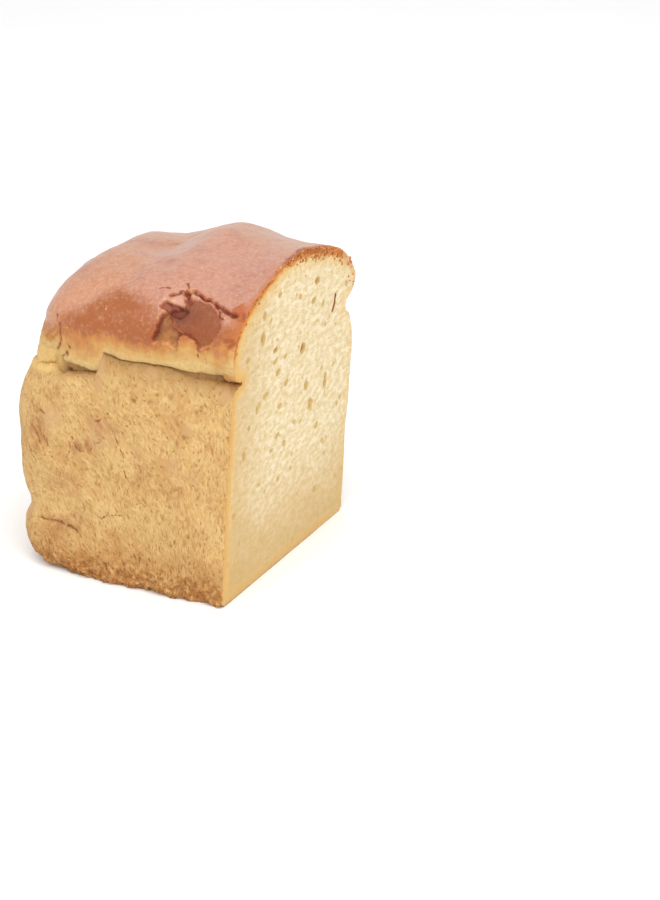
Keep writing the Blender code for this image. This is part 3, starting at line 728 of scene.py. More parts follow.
# the tin-baked skin, which the walls have and the lip's underside runs into
def wallSkinGroup():
    tree, given, out = shaderGroup(
        "wallSkin",
        [(name, "Vector", None) for name in ("Place", "Skin", "Flow", "Marks", "Sheet")],
        [("Colour", "Color"), ("Height", "Float"), ("Pore", "Float")])
    c = wallPaint
    skinAt = separate(tree, given["Skin"])       # run, climb, height above the floor
    flowAt = separate(tree, given["Flow"])       # across and along the pores, closed
    markAt = separate(tree, given["Marks"])      # streak, pit, smudge
    sheetAt = separate(tree, given["Sheet"])     # tone, corner
    flow = combine(tree, flowAt[0], flowAt[1])
    drawn = combine(tree, flowAt[0], times(tree, flowAt[1], 0.34))
    spots = useGroup(tree, mottle, {"Place": given["Place"], "Scale": 95.0})
    fibre = ramp(tree, noise(tree, drawn, 1.1, 3.0, 0.62), 0.30, 0.70, -1.0, 1.0, "LINEAR")
    closed = ramp(tree, sums(tree, "ADD", flowAt[2], times(tree, spots["Fine"], 0.15)), 0.25, 0.75)
    openness = scaleAdd(tree, closed, -0.85, 1.0)
    small = useGroup(tree, finePores, {"Place": flow, "Scale": 0.95, "Stretch": 2.3, "Reach": 0.46})["Pore"]
    tiny = useGroup(tree, finePores, {"Place": flow, "Scale": 2.1, "Stretch": 1.9, "Reach": 0.42})["Pore"]
    pore = times(tree, sums(tree, "MAXIMUM", small, times(tree, tiny, 0.55)), openness)
    middling = noise(tree, combine(tree, flowAt[0], times(tree, flowAt[1], 0.6)), 0.34, 3.0, 0.6)
    low = sums(tree, "ADD", skinAt[2], times(tree, spots["Broad"], 9.0))
    grain = ramp(tree, noise(tree, given["Place"], 520.0, 3.0, 0.7), 0.3, 0.7, -1.0, 1.0)
    patchy = scaleAdd(tree, grain, 0.8, times(tree, spots["Fine"], 0.8))
    base = ramp(tree, skinAt[2], 19.0, 3.0)
    smudge = times(tree, markAt[2], ramp(tree, middling, 0.35, 0.62, 0.25, 0.85))
    line = times(tree, ramp(tree, markAt[0], 1.25, 0.5), ramp(tree, spots["Fine"], -0.8, 0.3, 0.4, 0.85))
    dots = node(tree, "ShaderNodeTexVoronoi", {"Vector": flow, "Scale": 0.125})
    chance = node(tree, "ShaderNodeSeparateColor", {0: dots.outputs[1]}).outputs[1]
    dot = times(tree, ramp(tree, dots.outputs[0], 0.12, 0.05), ramp(tree, chance, 0.62, 0.70), 0.7)
    shade = blend(tree, ramp(tree, fibre, -0.7, 1.0), c["body"], c["pale"])
    shade = laid(
        tree, c, shade,
        (ramp(tree, sheetAt[0], 0.45, 1.1, 0.0, 0.5), "warm"),
        (ramp(tree, sheetAt[0], 0.50, 0.0, 0.0, 0.5), "pale"),
        (ramp(tree, middling, 0.52, 0.72, 0.0, 0.6), "ruddy"),
        (ramp(tree, middling, 0.46, 0.28, 0.0, 0.6), "pale"),
        (times(tree, ramp(tree, spots["Broad"], 0.2, 1.1), 0.45), "warm"),
        # painted shade under the overhanging lip, strongest just below it and fading out 15 mm lower
        (times(tree, ramp(tree, skinAt[1], -15.0, -1.5), 0.90), "underLipShade"),
        (times(tree, ramp(tree, low, 26.0, 0.0), 0.9), "foot"),
        (times(tree, base, ramp(tree, patchy, 0.1, 0.9), 0.8), "crumbly"),
        (times(tree, base, ramp(tree, patchy, -0.2, -0.9), 0.7), "pale"),
        (times(tree, closed, 0.50), "window"),
        # pores and deep pits darkened by their depth: painted shade in the pits
        (times(tree, pore, 0.50), "pore"),
        (ramp(tree, markAt[1], 0.05, 0.45, 0.0, 0.55), "pore"),
        (smudge, "smudge"),
        (ramp(tree, sheetAt[1], 0.15, 0.65, 0.0, 0.85), "corner"),
        (line, "streak"),
        (dot, "spot"))
    height = sums(tree, "SUBTRACT", times(tree, fibre, 0.25), pore)
    for name, value in (("Colour", shade), ("Height", height), ("Pore", pore)):
        tree.links.new(value, out[name])
    return tree


wallSkin = wallSkinGroup()


def newMaterial(name):
    material = bpy.data.materials.new(name)
    material.use_nodes = True
    tree = material.node_tree
    shader = tree.nodes["Principled BSDF"]
    return material, tree, shader, node(tree, "ShaderNodeTexCoord").outputs["Object"]


def finishShader(tree, shader, links, values):
    for name, value in values.items():
        shader.inputs[name].default_value = value
    for name, value in links.items():
        tree.links.new(value, shader.inputs[name])


def attribute(tree, name):
    return node(tree, "ShaderNodeAttribute", attribute_name=name).outputs["Vector"]


# the three values of a point attribute
def layersAt(tree, name):
    return separate(tree, attribute(tree, name))


def bump(tree, height, distance):
    return node(tree, "ShaderNodeBump", {"Strength": 1.0, "Distance": distance, "Height": height}).outputs[0]


def wallPattern(tree, at):
    given = {name.capitalize(): attribute(tree, name) for name in ("skin", "flow", "marks", "sheet")}
    return useGroup(tree, wallSkin, given | {"Place": at})


def tinMaterial():
    material, tree, shader, at = newMaterial("tinCrust")
    wall = wallPattern(tree, at)
    rough = ramp(tree, wall["Pore"], 0.0, 1.0, 0.60, 0.9)
    normal = bump(tree, wall["Height"], 0.15 * mm)
    finishShader(tree, shader, {"Base Color": wall["Colour"], "Roughness": rough, "Normal": normal},
                 {"Subsurface Weight": 0.10, "Subsurface Radius": (1.0, 0.6, 0.3), "Subsurface Scale": 0.0010,
                  "Specular IOR Level": 0.25})
    return material


crownPaint = {
    "cream": paint(190, 154, 92), "creamPale": paint(205, 174, 114), "golden": paint(192, 148, 80),
    "orange": paint(180, 118, 58), "brown": paint(150, 80, 32), "top": paint(178, 122, 98),
    "topLeft": paint(180, 124, 88), "topDark": paint(156, 94, 72), "topLight": paint(194, 144, 118),
    # crack: a dark brown, painted as shade in crevices and under undercut edges, and speckling chipped crust
    "darkBrownAndCreviceShade": paint(112, 44, 18), "rim": paint(158, 76, 32), "floor": paint(134, 76, 34),
    # plate, plateShadeLow: the down-facing plate darkened, painted shade
    "floorPale": paint(170, 114, 56), "plate": paint(130, 63, 22), "plateShadeLow": paint(132, 66, 25),
    # sunk: painted shadow under the upper flap
    "flapShadow": paint(92, 40, 20), "edge": paint(174, 98, 44), "speck": paint(214, 164, 120),
    # light: painted highlight on torn edges
    "chip": paint(176, 98, 46), "lump": paint(166, 80, 28), "light": paint(206, 150, 88),
    "ember": paint(144, 68, 14),
}


# the crown's shade from its browning, from the cream lip to the top
def crownShade(tree, bake, veil, skinAt, spots, broad):
    c = crownPaint
    shade = blend(tree, ramp(tree, spots["Fine"], -0.8, 0.9), c["cream"], c["creamPale"])
    shade = laid(
        tree, c, shade,
        (ramp(tree, bake, -9.5, -4.5), "golden"),
        (ramp(tree, bake, -6.0, -1.0), "orange"),
        (ramp(tree, bake, -2.0, 3.0), "brown"))
    top = blend(tree, ramp(tree, skinAt[0], 22.0, 60.0), c["top"], c["topLeft"])
    top = laid(
        tree, c, top,
        (ramp(tree, broad["Broad"], -0.1, 1.2, 0.0, 0.8), "topDark"),
        (ramp(tree, spots["Broad"], 0.0, 1.1, 0.0, 0.65), "topDark"),
        (ramp(tree, spots["Fine"], -0.3, 0.9, 0.0, 0.65), "topLight"))
    shade = blend(tree, ramp(tree, spots["Fine"], 0.1, 1.0, 0.0, 0.35), shade, c["golden"])
    return blend(tree, veil, shade, top)


def crownMaterial():
    material, tree, shader, at = newMaterial("crownCrust")
    c = crownPaint
    wall = wallPattern(tree, at)
    skinAt = layersAt(tree, "skin")         # run, climb, height above the floor
    tornAt = layersAt(tree, "torn")         # hollow, plate, split
    moreAt = layersAt(tree, "tornMore")     # pocket, lump, dent
    bakeAt = layersAt(tree, "bake")         # browning, chip, veil
    touchAt = layersAt(tree, "touch")       # light (painted highlight), ember, dark (painted shade)
    tintAt = layersAt(tree, "tint")         # painted shadow under the flap, edge
    broad = useGroup(tree, mottle, {"Place": at, "Scale": 60.0})
    spots = useGroup(tree, mottle, {"Place": at, "Scale": 190.0})
    bake = scaleAdd(tree, spots["Broad"], 1.3, bakeAt[0])
    bake = scaleAdd(tree, broad["Fine"], 1.1, bake)
    pulled = noise(tree, combine(tree, skinAt[0], times(tree, skinAt[1], 0.40)), 0.45, 4.0, 0.6)
    bake = sums(tree, "ADD", bake, ramp(tree, pulled, 0.30, 0.70, -1.1, 1.1, "LINEAR"))
    veil = scaleAdd(tree, spots["Broad"], 0.20, bakeAt[2])
    veil = scaleAdd(tree, broad["Fine"], 0.20, veil)
    veil = scaleAdd(tree, spots["Fine"], 0.10, veil)
    veil = ramp(tree, veil, 0.0, 1.0, 0.0, 1.0, "LINEAR")
    shade = crownShade(tree, bake, veil, skinAt, spots, broad)

    dots = node(tree, "ShaderNodeTexVoronoi", {"Vector": at, "Scale": 330.0})
    chance = node(tree, "ShaderNodeSeparateColor", {0: dots.outputs[1]}).outputs[1]
    dot = times(tree, ramp(tree, dots.outputs[0], 0.20, 0.07), ramp(tree, chance, 0.74, 0.80), 0.55)
    # the plate faces downwards: its darker colours are painted shade
    plateShadeTone = blend(tree, ramp(tree, skinAt[1], 27.0, 18.0), c["plate"], c["plateShadeLow"])
    plate = times(tree, ramp(tree, tornAt[1], 0.3, -0.4), ramp(tree, spots["Fine"], -1.0, 0.6, 1.0, 0.8))
    edged = times(tree, tintAt[1], ramp(tree, bake, -7.0, 1.0), 0.75)
    drawn = combine(tree, times(tree, skinAt[0], 1.6), skinAt[1])
    streaky = ramp(tree, noise(tree, drawn, 0.16, 3.0, 0.5), 0.30, 0.70)
    streaky = times(tree, streaky, ramp(tree, skinAt[0], 29.0, 26.0, 0.3, 1.0))
    floor = blend(tree, streaky, c["floor"], c["floorPale"])
    torn = sums(tree, "MINIMUM", tornAt[0], sums(tree, "ADD", moreAt[0], 0.6))
    within = ramp(tree, sums(tree, "MINIMUM", tornAt[1], moreAt[0]), 0.3, -0.4)
    hollowWallShadow = times(tree, ramp(tree, sums(tree, "ABSOLUTE", torn), 0.45, 0.1), 0.55)
    chipped = blend(tree, ramp(tree, spots["Fine"], -0.3, 0.5), c["darkBrownAndCreviceShade"], c["chip"])
    onCrown = ramp(tree, scaleAdd(tree, spots["Broad"], 0.5, skinAt[1]), -0.6, 0.9)
    # ember-red laid again low on the lip's underside at the cut: partly its own orange-brown, partly painted
    # shade
    lipEndEmberAndShade = times(tree, touchAt[1], ramp(tree, skinAt[1], 6.0, 3.5), 0.8)
    shade = laid(
        tree, c, shade,
        (dot, "speck"),
        (plate, plateShadeTone),
        (edged, "edge"),
        (ramp(tree, moreAt[1], 0.4, -0.5, 0.0, 0.85), "lump"),
        (ramp(tree, moreAt[2], 0.6, -0.6, 0.0, 0.85), "orange"),
        (ramp(tree, tornAt[0], 1.6, 0.4, 0.0, 0.6), "rim"),
        (ramp(tree, tornAt[0], 0.25, -0.25), floor),
        # the pocket and the plate's end under the upper flap: painted shadow
        (ramp(tree, moreAt[0], 0.25, -0.25, 0.0, 0.85), "rim"),
        (times(tree, within, tintAt[0], 0.9), "flapShadow"),
        # painted shadow along the undercut wall of the hollow
        (hollowWallShadow, "darkBrownAndCreviceShade"),
        (ramp(tree, tornAt[2], 1.9, 0.8, 0.0, 0.6), "rim"),
        (times(tree, touchAt[1], 0.9), "ember"),
        # painted shade in the cracks
        (ramp(tree, tornAt[2], 0.85, 0.30, 0.0, 0.95), "darkBrownAndCreviceShade"),
        # dark touches: painted shade in crevices, under flaps and under the lip
        (times(tree, touchAt[2], 0.85), "darkBrownAndCreviceShade"),
        # light touches: painted highlights on torn edges
        (times(tree, touchAt[0], 0.65), "light"),
        (ramp(tree, bakeAt[1], 0.3, 0.7, 0.0, 0.8), chipped))
    shade = blend(tree, onCrown, wall["Colour"], shade)
    # the lip's end at the cut: ember-red, partly painted shade
    shade = blend(tree, lipEndEmberAndShade, shade, c["ember"])

    glossy = times(tree, ramp(tree, bake, -2.0, 6.0), scaleAdd(tree, veil, 0.75, 0.25))
    rough = scaleAdd(tree, spots["Fine"], 0.05, ramp(tree, glossy, 0.0, 1.0, 0.68, 0.42))
    openings, raised = [sums(tree, "MINIMUM", tornAt[axis], moreAt[axis]) for axis in (0, 1)]
    whole = ramp(tree, sums(tree, "MINIMUM", openings, raised), 0.0, 1.4)
    coat = times(tree, glossy, times(tree, whole, ramp(tree, tornAt[2], 0.8, 1.6)), 0.72)
    grain = sums(tree, "ADD", times(tree, spots["Fine"], 0.30), times(tree, broad["Fine"], 0.5))
    lower = times(tree, wall["Height"], ramp(tree, skinAt[1], 6.0, 0.0))
    normal = bump(tree, sums(tree, "ADD", grain, lower), 0.14 * mm)
    finishShader(tree, shader,
                 {"Base Color": shade, "Roughness": rough, "Coat Weight": coat, "Normal": normal},
                 {"Coat Roughness": 0.34, "Specular IOR Level": 0.5, "Subsurface Weight": 0.05,
                  "Subsurface Radius": (1.0, 0.5, 0.25), "Subsurface Scale": 0.001})
    return material


crumbPaint = {
    "body": paint(209, 187, 142), "pale": paint(228, 214, 184), "deep": paint(198, 167, 110),
    # hole, deepPoreShade: painted shade in the pores
    "poreShade": paint(190, 156, 94), "deepPoreShade": paint(162, 120, 58), "edgeWarm": paint(202, 146, 70),
    "edgeSoft": paint(216, 176, 108), "edgeBrown": paint(200, 122, 56), "edgeDark": paint(150, 76, 32),
    # low: painted shadow of the leaning slices near the foot, also laid towards the front edge
    "mark": paint(140, 68, 34), "low": paint(192, 158, 100),
}


def crumbMaterial():
    material, tree, shader, at = newMaterial("cutCrumb")
    c = crumbPaint
    cutAt = layersAt(tree, "cut")       # to the edge, pit, crown share
    markAt = layersAt(tree, "mark")     # brown mark, ring width, height above the floor
    around = separate(tree, at)
    flat = combine(tree, around[1], around[2])
    wide = combine(tree, times(tree, around[1], 0.6), around[2])
    broad = useGroup(tree, mottle, {"Place": wide, "Scale": 90.0})
    spots = useGroup(tree, mottle, {"Place": wide, "Scale": 420.0})
    small = useGroup(tree, finePores, {"Place": flat, "Scale": 480.0, "Stretch": 0.62, "Reach": 0.50})["Pore"]
    tiny = useGroup(tree, finePores, {"Place": flat, "Scale": 1150.0, "Stretch": 0.62, "Reach": 0.46})["Pore"]
    pore = sums(tree, "MAXIMUM", small, times(tree, tiny, 0.6))
    low = scaleAdd(tree, broad["Broad"], 9.0, markAt[2])
    sideways = scaleAdd(tree, broad["Broad"], 5.0 * mm, around[1])
    warmth = ramp(tree, around[1], 46.0 * mm, 34.0 * mm, 0.22, 1.0)
    warmth = times(tree, warmth, ramp(tree, markAt[2], 1.0, 10.0, 0.45, 1.0))
    away = scaleAdd(tree, spots["Broad"], 0.35, cutAt[0])
    away = scaleAdd(tree, broad["Fine"], 0.5, away)
    reach = scaleAdd(tree, cutAt[2], 4.5, 6.0)
    glow = ramp(tree, sums(tree, "DIVIDE", away, reach), 1.0, 0.1, 0.0, 0.85)
    warmer = times(tree, ramp(tree, away, 4.4, 1.0), ramp(tree, cutAt[2], 0.3, 0.8, 0.45, 0.85), warmth)
    crustRing = ramp(tree, away, markAt[1], times(tree, markAt[1], 0.4))
    crust = blend(tree, ramp(tree, spots["Broad"], -0.2, 0.9), c["edgeBrown"], c["edgeDark"])
    shade = blend(tree, ramp(tree, spots["Broad"], -0.8, 0.9), c["body"], c["pale"])
    shade = laid(
        tree, c, shade,
        (times(tree, ramp(tree, broad["Broad"], 0.0, 1.0), 0.22), "deep"),
        # darker towards the foot, painted shadow of the leaning slices, which the scene leaves out; and
        # darker towards the front edge
        (ramp(tree, low, 52.0, 4.0, 0.0, 0.75), "low"),
        (ramp(tree, sideways, -12.0 * mm, -50.0 * mm, 0.0, 0.6), "low"),
        # pores darkened by their mask and by their depth: painted shade in the pores
        (times(tree, pore, 0.34), "deep"),
        (ramp(tree, cutAt[1], 0.04, 0.34, 0.0, 0.85), "poreShade"),
        (ramp(tree, cutAt[1], 0.55, 1.3, 0.0, 0.8), "deepPoreShade"),
        (times(tree, glow, warmth), "edgeSoft"),
        (warmer, "edgeWarm"),
        (times(tree, crustRing, cutAt[2], warmth), crust),
        (ramp(tree, markAt[0], 1.4, 0.6), "mark"))
    normal = bump(tree, sums(tree, "SUBTRACT", times(tree, spots["Fine"], 0.20), pore), 0.12 * mm)
    finishShader(tree, shader, {"Base Color": shade, "Normal": normal},
                 {"Roughness": 0.85, "Specular IOR Level": 0.2, "Subsurface Weight": 0.30,
                  "Subsurface Radius": (1.0, 0.7, 0.4), "Subsurface Scale": 0.0015})
    return material


# Crust pieces: rows of the skin, closed by faces set back behind the cut and inside the seam between them
closing = {"setBack": 5.0 * mm, "inward": 0.93, "bodyMiddle": 0.060, "crownMiddle": 0.112, "lift": 2.0 * mm}


# points moved behind the cut and drawn in towards a middle height
def setBack(points, depth, inward, middle):
    away = points.copy()
    away[..., 0] -= depth
    away[..., 1] = (points[..., 1] - place[1]) * inward + place[1]
    away[..., 2] = (points[..., 2] - middle) * inward + middle
    return away


# the ring where crown and walls meet, drawn in and moved up or down, to carry a closing face out of sight
def drawnIn(seam, lift):
    middle = seam.mean(0)
    inner = middle + (seam - middle) * closing["inward"]
    inner[:, 2] = seam[:, 2] + lift
    return inner[None]


# faces over the seam between the two halves of the top row, from the cut to the baked end
def ridgeFaces(top, xs):
    near, far, faces = 0, len(top) - 1, []
    while far - near > 1:
        if xs[near + 1] >= xs[far - 1]:
            faces.append([top[near], top[far], top[near + 1]])
            near += 1
        else:
            faces.append([top[near], top[far], top[far - 1]])
            far -= 1
    return faces


def skinPiece(name, firstRow, lastRow, material):
    rows = slice(firstRow, lastRow + 1)
    points = skin[rows]
    whole = lastRow == len(skin) - 1
    inner = closing["setBack"], closing["inward"], closing["crownMiddle" if whole else "bodyMiddle"]
    front, back = setBack(points[:, :1], *inner), setBack(points[:, -1:], *inner)
    points = np.concatenate([front, points, back], axis=1)
    if whole:
        points = np.concatenate([drawnIn(points[0], closing["lift"]), points])
    else:
        points = np.concatenate([points, drawnIn(points[-1], -closing["lift"])])
    count, across = points.shape[:2]
    index = np.arange(count * across).reshape(count, across)
    faces = gridFaces(np.concatenate([index, index[:, :1]], axis=1), True)
    faces.append(index[0].tolist())
    if whole:
        faces += ridgeFaces(index[-1].tolist(), points[-1, :, 0])
    else:
        faces.append(index[-1, ::-1].tolist())

    # two or three fields at the piece's points, as a vector attribute
    def overPiece(*names):
        values = np.zeros((count * across, 3))
        for axis, key in enumerate(names):
            layer = np.broadcast_to(field[key], skin.shape[:2])[rows]
            values[:, axis] = np.pad(layer, ((1, 0) if whole else (0, 1), (1, 1)), mode="edge").ravel()
        return values

    attributes = {
        "skin": overPiece("run", "climb", "height"), "flow": overPiece("across", "along", "closed"),
        "marks": overPiece("streak", "pit", "smudge"), "sheet": overPiece("tone", "corner"),
    }
    if whole:
        attributes |= {
            "torn": overPiece("hollow", "plate", "split"), "tornMore": overPiece("pocket", "lump", "dent"),
            "bake": overPiece("browning", "chip", "veil"), "touch": overPiece("light", "ember", "dark"),
            "tint": overPiece("flapShadow", "edge"),
        }
    sharp = np.zeros((count, across), bool)
    sharp[:, [1, -2]] = True
    sharp[[1] if whole else [0, -2]] = True
    dress(meshObject(name, points.reshape(-1, 3), faces, attributes, sharp.ravel(), material))


skinPiece("tin_crust", 0, pinchRow, tinMaterial())
skinPiece("crown_crust", pinchRow, len(skin) - 1, crownMaterial())


# The cut face: a grid between the two edges of the skin, pitted by the crumb's pores, in mm
crumb = {
    "columns": 288, "bodyDepth": 6.0, "bodyInward": 0.96, "waves": 0.22, "edgeFade": (0.4, 3.0),
    "crownRing": 2.3, "wallRing": 0.5, "crownFrom": (98.0, 108.0), "batch": 4000,
}
# layers of pores: cell, stretch, smallest and largest radius, share of cells that have one, depth, seed
poreLayers = [(7.5, 0.9, 0.9, 2.4, 0.55, 0.16, 91), (3.3, 0.75, 0.5, 1.3, 0.80, 0.18, 95),
              (1.6, 0.75, 0.30, 0.65, 0.85, 0.16, 99)]
# the largest pores: across and up from the middle of the cut's foot, half width, half height and depth
largePores = [(-15.9, 118.1, 1.2, 0.8, 1.0), (14.4, 106.6, 1.4, 1.2, 1.2), (16.1, 114.5, 1.8, 1.3, 1.5),
              (-28.9, 104.1, 1.2, 2.4, 1.4), (-17.5, 96.1, 1.2, 0.9, 2.0), (6.8, 89.1, 1.6, 1.6, 2.2),
              (-28.4, 113.7, 1.0, 1.7, 1.1), (-40.6, 99.5, 1.2, 1.0, 0.8), (-17.0, 91.4, 1.6, 1.1, 0.8),
              (-14.4, 85.9, 1.4, 1.2, 1.0), (11.5, 71.9, 1.4, 1.9, 1.1), (29.4, 67.4, 1.0, 3.8, 1.3),
              (-6.7, 78.9, 1.3, 1.2, 1.0), (16.4, 61.8, 1.5, 2.4, 1.1), (-23.8, 79.6, 1.6, 1.1, 0.9),
              (-30.3, 75.7, 0.9, 1.5, 1.0), (-36.7, 70.1, 0.9, 0.9, 1.0), (-12.3, 58.4, 1.3, 1.2, 0.9),
              (-5.6, 53.0, 1.2, 1.2, 0.9), (-40.0, 60.0, 0.9, 1.7, 1.1), (-16.8, 53.7, 1.2, 0.9, 0.8)]
brownMark = [(34.8, 103.0), (34.4, 99.7), (32.9, 96.7)]


# distance of each point of the cut to its outline, in slices to save memory
def edgeDistance(points, outline):
    away = np.empty(len(points))
    for start in range(0, len(points), crumb["batch"]):
        part = slice(start, start + crumb["batch"])
        away[part] = np.sqrt(((points[part, None] - outline[None]) ** 2).sum(-1)).min(1)
    return away


# the points of the cut and the values that its relief and its colours share
def cutFace():
    front, back = skin[:, 0], skin[:, -1]
    share = np.linspace(0.0, 1.0, crumb["columns"])[None, :, None]
    points = front[:, None] * (1.0 - share) + back[:, None] * share
    across, up = (points[..., 1] - place[1]) / mm, points[..., 2] / mm
    outline = np.concatenate([front[:, 1:], back[:, 1:], points[0, :, 1:]])
    toEdge = edgeDistance(points[..., 1:].reshape(-1, 2), outline).reshape(across.shape) / mm
    chart = np.stack([across, up], -1)
    flat = np.stack([across, up, 0.0 * up], -1)
    u = across + 1.6 * lumps(flat, 16.0, 83) + 0.5 * lumps(flat, 5.0, 84)
    v = up + 1.6 * lumps(flat, 16.0, 85) + 0.5 * lumps(flat, 5.0, 86)
    openTop = 1.0 + 0.35 * smooth(85.0, 115.0, up)
    pit = np.zeros(u.shape)
    for size, stretch, least, most, many, deep, seed in poreLayers:
        pit = np.maximum(pit, deep * pores(u, v, size, stretch, (least, most), many, seed) * openTop)
    for atAcross, atUp, halfAcross, halfUp, deep in largePores:
        away = np.hypot((across - atAcross) / (1.5 * halfAcross), (up - atUp) / (1.2 * halfUp))
        away += 0.30 * grit(chart, 1.6, 88)
        pit = np.maximum(pit, 0.7 * deep * smooth(1.3, 0.3, away))
    pit *= 0.35 * smooth(0.0, 0.6, toEdge) + 0.65 * smooth(*crumb["edgeFade"], toEdge)
    fluff = 0.06 * grit(chart * [0.7, 1.0], 2.4, 89) + 0.03 * grit(chart, 0.9, 90)
    mark = pathDistance(across, up, brownMark) / 0.85
    soft = fluff + crumb["waves"] * lumps(flat, 22.0, 87)
    relief = soft * smooth(0.0, 1.2, toEdge) - pit - 0.5 * bell(mark, 1.0)
    outward = np.array([1.0, 0.0, -form["cutLean"]]) / np.hypot(1.0, form["cutLean"])
    points = points + relief[..., None] * outward * mm
    crownShare = smooth(*crumb["crownFrom"], up)
    ringWidth = crumb["wallRing"] + (crumb["crownRing"] - crumb["wallRing"]) * crownShare
    ringWidth *= 1.0 + 0.8 * smooth(-14.0, -2.0, across) * crownShare
    return points, {"toEdge": toEdge, "pit": pit, "crownShare": crownShare, "ringWidth": ringWidth,
                    "mark": mark, "up": up, "across": across}


def makeCutCrumb():
    points, layer = cutFace()
    count, across = points.shape[:2]
    index = np.arange(count * across).reshape(count, across)
    faces = gridFaces(index, False)
    loop = np.concatenate([index[0], index[1:, -1], index[-1, -2::-1], index[-2:0:-1, 0]])
    flatPoints = points.reshape(-1, 3)
    behind = setBack(flatPoints[loop], crumb["bodyDepth"] * mm, crumb["bodyInward"], closing["bodyMiddle"])
    far = len(flatPoints) + np.arange(len(loop))
    nextLoop, nextFar = np.roll(loop, -1), np.roll(far, -1)
    faces += np.stack([loop, far, nextFar, nextLoop], -1).tolist()
    faces.append(far[::-1].tolist())

    def withBack(*layers):
        values = np.stack([np.ravel(values) for values in layers], -1)
        return np.concatenate([values, values[loop]])

    fromCrown = layer["toEdge"] / layer["ringWidth"]
    crusty = smooth(1.4, 0.4, fromCrown) * smooth(0.3, 1.0, layer["crownShare"])
    crusty *= 0.35 + 0.65 * smooth(-16.0, -2.0, layer["across"]) * smooth(44.0, 36.0, layer["across"])
    loose = 0.35 + 0.65 * smooth(5.0, 0.5, layer["toEdge"])
    attributes = {
        "cut": withBack(layer["toEdge"], layer["pit"], 0.30 + 0.70 * layer["crownShare"]),
        "mark": withBack(layer["mark"], layer["ringWidth"], layer["up"]),
        "crusty": withBack(crusty)[:, 0], "loose": withBack(loose)[:, 0],
    }
    for key in ("crusty", "loose"):
        attributes[key][len(flatPoints):] = 0.0
    sharp = np.zeros(len(flatPoints) + len(loop), bool)
    sharp[loop] = True
    allPoints = np.concatenate([flatPoints, behind])
    piece = meshObject("cut_crumb", allPoints, faces, attributes, sharp, crumbMaterial())
    dress(piece)
    return piece


cutCrumb = makeCutCrumb()


# Loose bits, scattered over a surface by one of its attributes
def scatterGroup():
    tree = bpy.data.node_groups.new("scatterBits", "GeometryNodeTree")
    for name, kind in (("Surface", "Geometry"), ("Mask", "String"), ("Density", "Float"),
                       ("Smallest", "Float"), ("Largest", "Float"), ("Seed", "Int"),
                       ("Material", "Material")):
        tree.interface.new_socket(name, in_out="INPUT", socket_type="NodeSocket" + kind)
    tree.interface.new_socket("Bits", in_out="OUTPUT", socket_type="NodeSocketGeometry")
    given = tree.nodes.new("NodeGroupInput").outputs
    out = tree.nodes.new("NodeGroupOutput").inputs
    mask = node(tree, "GeometryNodeInputNamedAttribute", {"Name": given["Mask"]}, data_type="FLOAT")
    density = sums(tree, "MULTIPLY", mask.outputs[0], given["Density"])
    spread = {"Mesh": given["Surface"], "Density": density, "Seed": given["Seed"]}
    points = node(tree, "GeometryNodeDistributePointsOnFaces", spread).outputs["Points"]
    bit = node(tree, "GeometryNodeMeshIcoSphere", {"Radius": 1.0, "Subdivisions": 1}).outputs["Mesh"]
    least = combine(tree, given["Smallest"], given["Smallest"], given["Smallest"])
    most = combine(tree, given["Largest"], given["Largest"], given["Largest"])
    fullTurn = (6.28, 6.28, 6.28)
    size, turn = [node(tree, "FunctionNodeRandomValue", values, data_type="FLOAT_VECTOR").outputs[0]
                  for values in ({0: least, 1: most, "Seed": given["Seed"]},
                                 {0: (0.0, 0.0, 0.0), 1: fullTurn, "Seed": 5})]
    place = {"Points": points, "Instance": bit, "Rotation": turn, "Scale": size}
    placed = node(tree, "GeometryNodeInstanceOnPoints", place)
    real = node(tree, "GeometryNodeRealizeInstances", {"Geometry": placed.outputs[0]}).outputs[0]
    where = node(tree, "GeometryNodeInputPosition").outputs[0]
    uneven = unevenness(tree, where, 1500.0)
    amount = sums(tree, "MULTIPLY", given["Largest"], 1.3)
    moved = node(tree, "ShaderNodeVectorMath", {0: uneven, 3: amount}, operation="SCALE").outputs[0]
    rough = node(tree, "GeometryNodeSetPosition", {"Geometry": real, "Offset": moved}).outputs[0]
    soft = node(tree, "GeometryNodeSetShadeSmooth", {"Geometry": rough, "Shade Smooth": True}).outputs[0]
    done = node(tree, "GeometryNodeSetMaterial", {"Geometry": soft, "Material": given["Material"]}).outputs[0]
    tree.links.new(done, out["Bits"])
    return tree


scatterBits = scatterGroup()


def bitsMaterial(name, dark, light, rough):
    material, tree, shader, at = newMaterial(name)
    tone = ramp(tree, noise(tree, at, 700.0, 2.0), 0.35, 0.65)
    finishShader(tree, shader, {"Base Color": blend(tree, tone, dark, light)},
                 {"Roughness": rough, "Specular IOR Level": 0.3, "Subsurface Weight": 0.15,
                  "Subsurface Radius": (1.0, 0.6, 0.3), "Subsurface Scale": 0.0006})
    return material


# one piece of scattered bits: a plain mesh, from the values of the piece's own dictionary
def scatter(values, surface, material):
    holder = newObject(values["name"], surface.data.copy())
    modifier = holder.modifiers.new("Bits", "NODES")
    modifier.node_group = scatterBits
    given = {"Mask": values["mask"], "Density": values["density"], "Smallest": values["smallest"],
             "Largest": values["largest"], "Seed": values["seed"], "Material": material}
    for item in scatterBits.interface.items_tree:
        if item.in_out == "INPUT" and item.name in given:
            modifier[item.identifier] = given[item.name]
    holder.update_tag()
    graph = bpy.context.evaluated_depsgraph_get()
    made = bpy.data.meshes.new_from_object(holder.evaluated_get(graph))
    old = holder.data
    holder.modifiers.remove(modifier)
    holder.data = made
    bpy.data.meshes.remove(old)
    made.name = values["name"]
    dress(holder)


